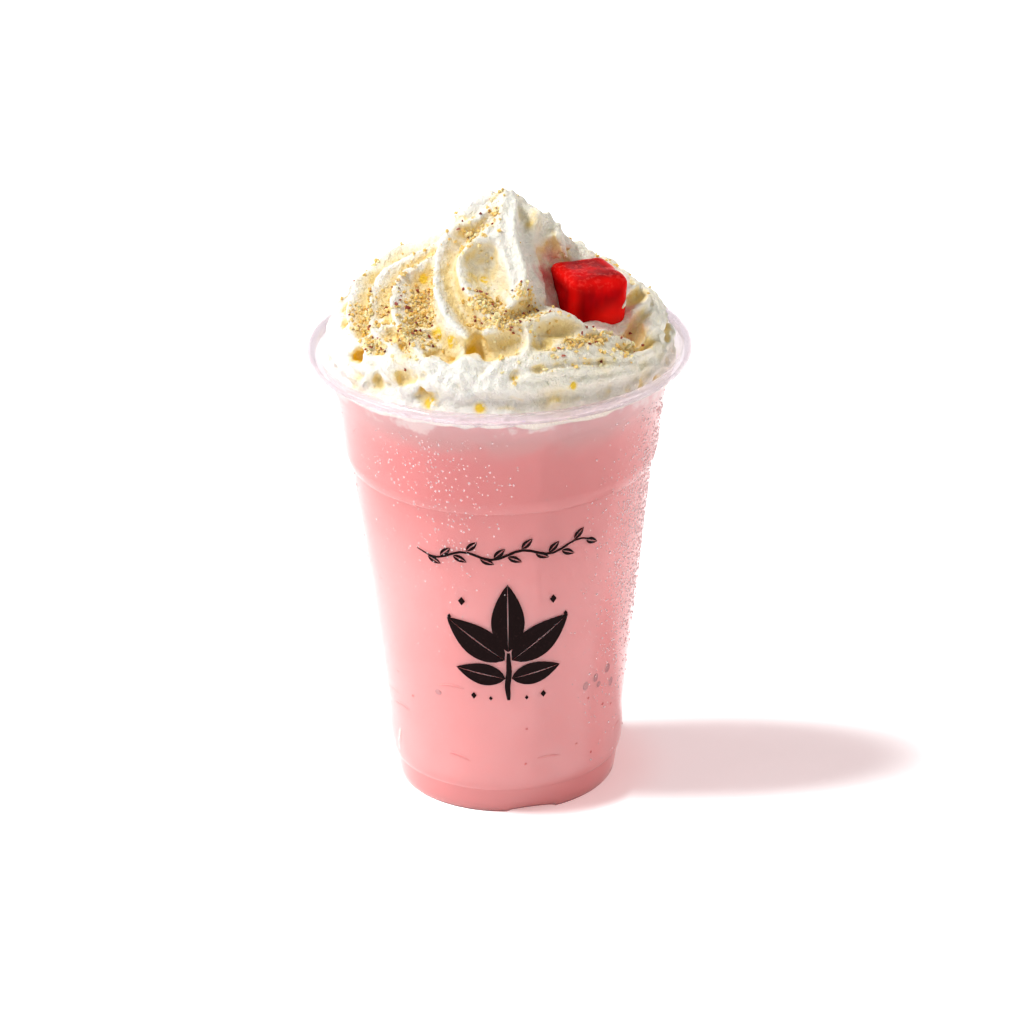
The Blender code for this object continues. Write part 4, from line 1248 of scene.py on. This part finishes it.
# condensation: fields of drops as azimuth, height, spread in degrees and in mm, number and sizes
drops = {
    "fields": [(340, 78, 9, 22, 1500, (0.16, 0.42)), (326, 72, 8, 24, 620, (0.13, 0.30)),
               (312, 60, 9, 24, 160, (0.10, 0.2)), (244, 103, 14, 8, 260, (0.16, 0.34)),
               (250, 86, 9, 9, 130, (0.16, 0.34)), (256, 73, 7, 6, 30, (0.14, 0.3)),
               (230, 60, 14, 22, 90, (0.08, 0.18)), (30, 78, 22, 24, 700, (0.2, 0.42)),
               (90, 75, 24, 24, 420, (0.15, 0.4)), (160, 80, 24, 22, 300, (0.12, 0.3))],
    "low": 9.0, "high": 112.0, "seed": 21, "colour": (1.0, 0.83, 0.83), "clear": 0.5, "ior": 1.2,
}


def makeDrops():
    pick()
    bpy.ops.mesh.primitive_uv_sphere_add(segments=9, ring_count=5, radius=1.0)
    drop = bpy.context.object
    startEdit(drop)
    bpy.ops.mesh.bisect(plane_co=(0, 0, -0.25), plane_no=(0, 0, 1), clear_inner=True, use_fill=True)
    endEdit()
    rng = random.Random(drops["seed"])
    taken, places = {}, []
    for azimuth, height, wide, high, count, sizes in drops["fields"]:
        for _ in range(count):
            a, z = rng.gauss(azimuth, wide), rng.gauss(height, high)
            size = rng.uniform(*sizes) * rng.uniform(0.6, 1.0)
            tall, turn = rng.uniform(0.9, 1.35), rng.uniform(0, 6.28)
            if not drops["low"] < z < drops["high"]:
                continue
            radius = wallRadius(z)
            x, cell = math.radians(a) * radius, (round(math.radians(a) * radius), round(z))
            near = [taken.get((cell[0] + i, cell[1] + j), ()) for i in (-1, 0, 1) for j in (-1, 0, 1)]
            if any(math.hypot(x - u, z - v) < 0.85 * (size + w) for group in near for u, v, w in group):
                continue
            taken.setdefault(cell, []).append((x, z, size))
            lean = math.atan2(wallRadius(z + 1) - wallRadius(z - 1), 2)
            out = Matrix.Rotation(math.radians(a), 4, "Z") @ Matrix.Rotation(math.pi / 2 + lean, 4, "Y")
            shape = Matrix.Diagonal((size * tall, size, size * 0.55, 1)) @ Matrix.Rotation(turn, 4, "Z")
            spot = aroundCup(a, radius + 0.02, z) * mm
            places.append((Matrix.Translation(spot) @ out @ Matrix.Scale(mm, 4) @ shape, 0, rng.random()))
    beads = scatter("condensation", [drop], places)
    # the drops are half pinkish white: painted glints, and painted pink of the milk seen through the water
    material, tree, surface = newMaterial("waterDrops", drops["colour"])
    feed(tree, surface, {"Transmission Weight": drops["clear"], "IOR": drops["ior"],
                         "Roughness": remap(tree, attribute(tree, "tone"), 0, 1, 0.1, 0.3)})
    letLightThrough(tree, surface)
    finish(beads, material)
    print("condensation ready:", len(places), "drops")


makeDrops()

# studio: a pale floor that glows, more near the cup, with the cup's shadow painted into its glow; one soft
# key from the left, a side and a fill lamp, a white surround, and the camera
studio = {
    "distance": 1.1, "elevation": 25.4, "aim": 0.06, "yaw": 0.130, "pitch": 0.605, "roll": -0.95,
    "lens": 148.65,
    "key": {"azimuth": 178.0, "elevation": 60.0, "distance": 1.5, "size": (0.85, 0.2), "power": 20.0},
    "side": {"azimuth": 190.0, "elevation": 12.0, "distance": 1.4, "size": (0.9, 0.7), "power": 4.4},
    "fill": {"azimuth": 350.0, "elevation": 12.0, "distance": 1.4, "size": (0.7, 0.7), "power": 2.6},
    "lampMiddle": 0.08, "surround": 0.27, "floorColour": (0.72, 0.70, 0.70),
    "floorPatches": (0.70, 0.68, 0.68),
    "lit": (1.35, 0.95), "litZone": (0.06, 0.24), "seenThroughCup": 0.3,
    "shadow": (0.053, 0.0, 0.072, 0.028), "contactShadow": (0.010, 0.0, 0.0312),
    "shade": (0.53, 0.41, 0.41), "shadeNear": (0.52, 0.32, 0.315), "shadeZone": (0.030, 0.046),
}


def makeFloor():
    pick()
    bpy.ops.mesh.primitive_circle_add(vertices=96, radius=6.0, fill_type="TRIFAN")
    floor = bpy.context.object
    floor.name = floor.data.name = "floor"
    material, tree, surface = newMaterial("paleFloor", studio["floorColour"])
    place = objectPlace(tree)
    patches = mottle(tree, 30.0, 2.0, 0.3, 0.7)["Mask"]
    paper = mixColours(tree, patches, studio["floorColour"], studio["floorPatches"])
    # painted shadow: an oval trailing to the right and a disc at the foot of the cup take the floor's glow
    # down to pink shade
    x, y, long, wide = studio["shadow"]
    flat = vectors(tree, "SUBTRACT", place, (x, y, 0.0))
    flat = vectors(tree, "MULTIPLY", flat, (1 / long, 1 / wide, 0.0))
    x, y, size = studio["contactShadow"]
    close = vectors(tree, "DISTANCE", place, (x, y, 0.0), "Value")
    shade = greater(tree, remap(tree, vectors(tree, "LENGTH", flat, result="Value"), 1.2, 0.58),
                    remap(tree, close, size * 1.15, size * 0.88))
    # painted light: the floor glows more strongly near the cup and lights the cup's foot from below
    away = vectors(tree, "DISTANCE", place, (0.0, 0.0, 0.0), "Value")
    near, distant = ((value, value, value) for value in studio["lit"])
    lit = mixColours(tree, remap(tree, away, *studio["litZone"]), near, distant)
    dark = mixColours(tree, remap(tree, away, *studio["shadeZone"]), studio["shadeNear"], studio["shade"])
    through = put(tree, "LightPath").outputs["Is Transmission Ray"]
    dimmed = put(tree, "MapRange", {"Value": through, "To Min": 1.0, "To Max": studio["seenThroughCup"]})
    feed(tree, surface, {"Base Color": paper, "Roughness": 0.9, "Specular IOR Level": 0.1,
                         "Emission Color": mixColours(tree, shade, lit, dark),
                         "Emission Strength": dimmed.outputs[0]})
    floor.data.materials.append(material)


def placeLamps():
    for name in ("key", "side", "fill"):
        lamp = studio[name]
        rise = math.radians(lamp["elevation"])
        towards = aroundCup(lamp["azimuth"], math.cos(rise), math.sin(rise))
        bpy.ops.object.light_add(type="AREA", rotation=towards.to_track_quat("Z", "Y").to_euler(),
                                 location=towards * lamp["distance"] + upward * studio["lampMiddle"])
        light = bpy.context.object
        light.name = name + "Light"
        light.data.shape = "RECTANGLE"
        light.data.size, light.data.size_y = lamp["size"]
        light.data.energy = lamp["power"]


def makeSurround():
    # white where it is seen, also through the cup or as a reflection, and dimmer as light
    world = bpy.data.worlds.new("surround")
    bpy.context.scene.world = world
    world.use_nodes = True
    tree = world.node_tree
    rays = put(tree, "LightPath").outputs
    seen = greater(tree, rays["Is Camera Ray"], rays["Is Transmission Ray"])
    seen = greater(tree, seen, rays["Is Glossy Ray"])
    strength = put(tree, "MapRange", {"Value": seen, "To Min": studio["surround"], "To Max": 1.0})
    feed(tree, tree.nodes["Background"], {"Color": (1, 1, 1, 1), "Strength": strength.outputs[0]})


def turnedCamera(ahead, right, up):
    yaw, pitch = (math.tan(math.radians(studio[name])) for name in ("yaw", "pitch"))
    ahead = (ahead + yaw * right + pitch * up).normalized()
    right = ahead.cross(up).normalized()
    up = right.cross(ahead)
    roll = Matrix.Rotation(math.radians(-studio["roll"]), 3, ahead)
    return ahead, roll @ right, roll @ up


def aimCamera():
    tilt, middle = math.radians(studio["elevation"]), studio["aim"]
    back, rise = studio["distance"] * math.cos(tilt), studio["distance"] * math.sin(tilt)
    spot = Vector((0, -back, middle + rise))
    ahead = (Vector((0, 0, middle)) - spot).normalized()
    right = ahead.cross(upward).normalized()
    ahead, right, up = turnedCamera(ahead, right, right.cross(ahead))
    bpy.ops.object.camera_add()
    camera = bpy.context.object
    camera.name = "camera"
    camera.matrix_world = Matrix.Translation(spot) @ Matrix((right, up, -ahead)).transposed().to_4x4()
    camera.data.lens = studio["lens"]
    camera.data.sensor_width = 36.0
    bpy.context.scene.camera = camera


makeFloor()
placeLamps()
makeSurround()
aimCamera()
bpy.context.scene.view_settings.view_transform = "Standard"
print("studio ready")
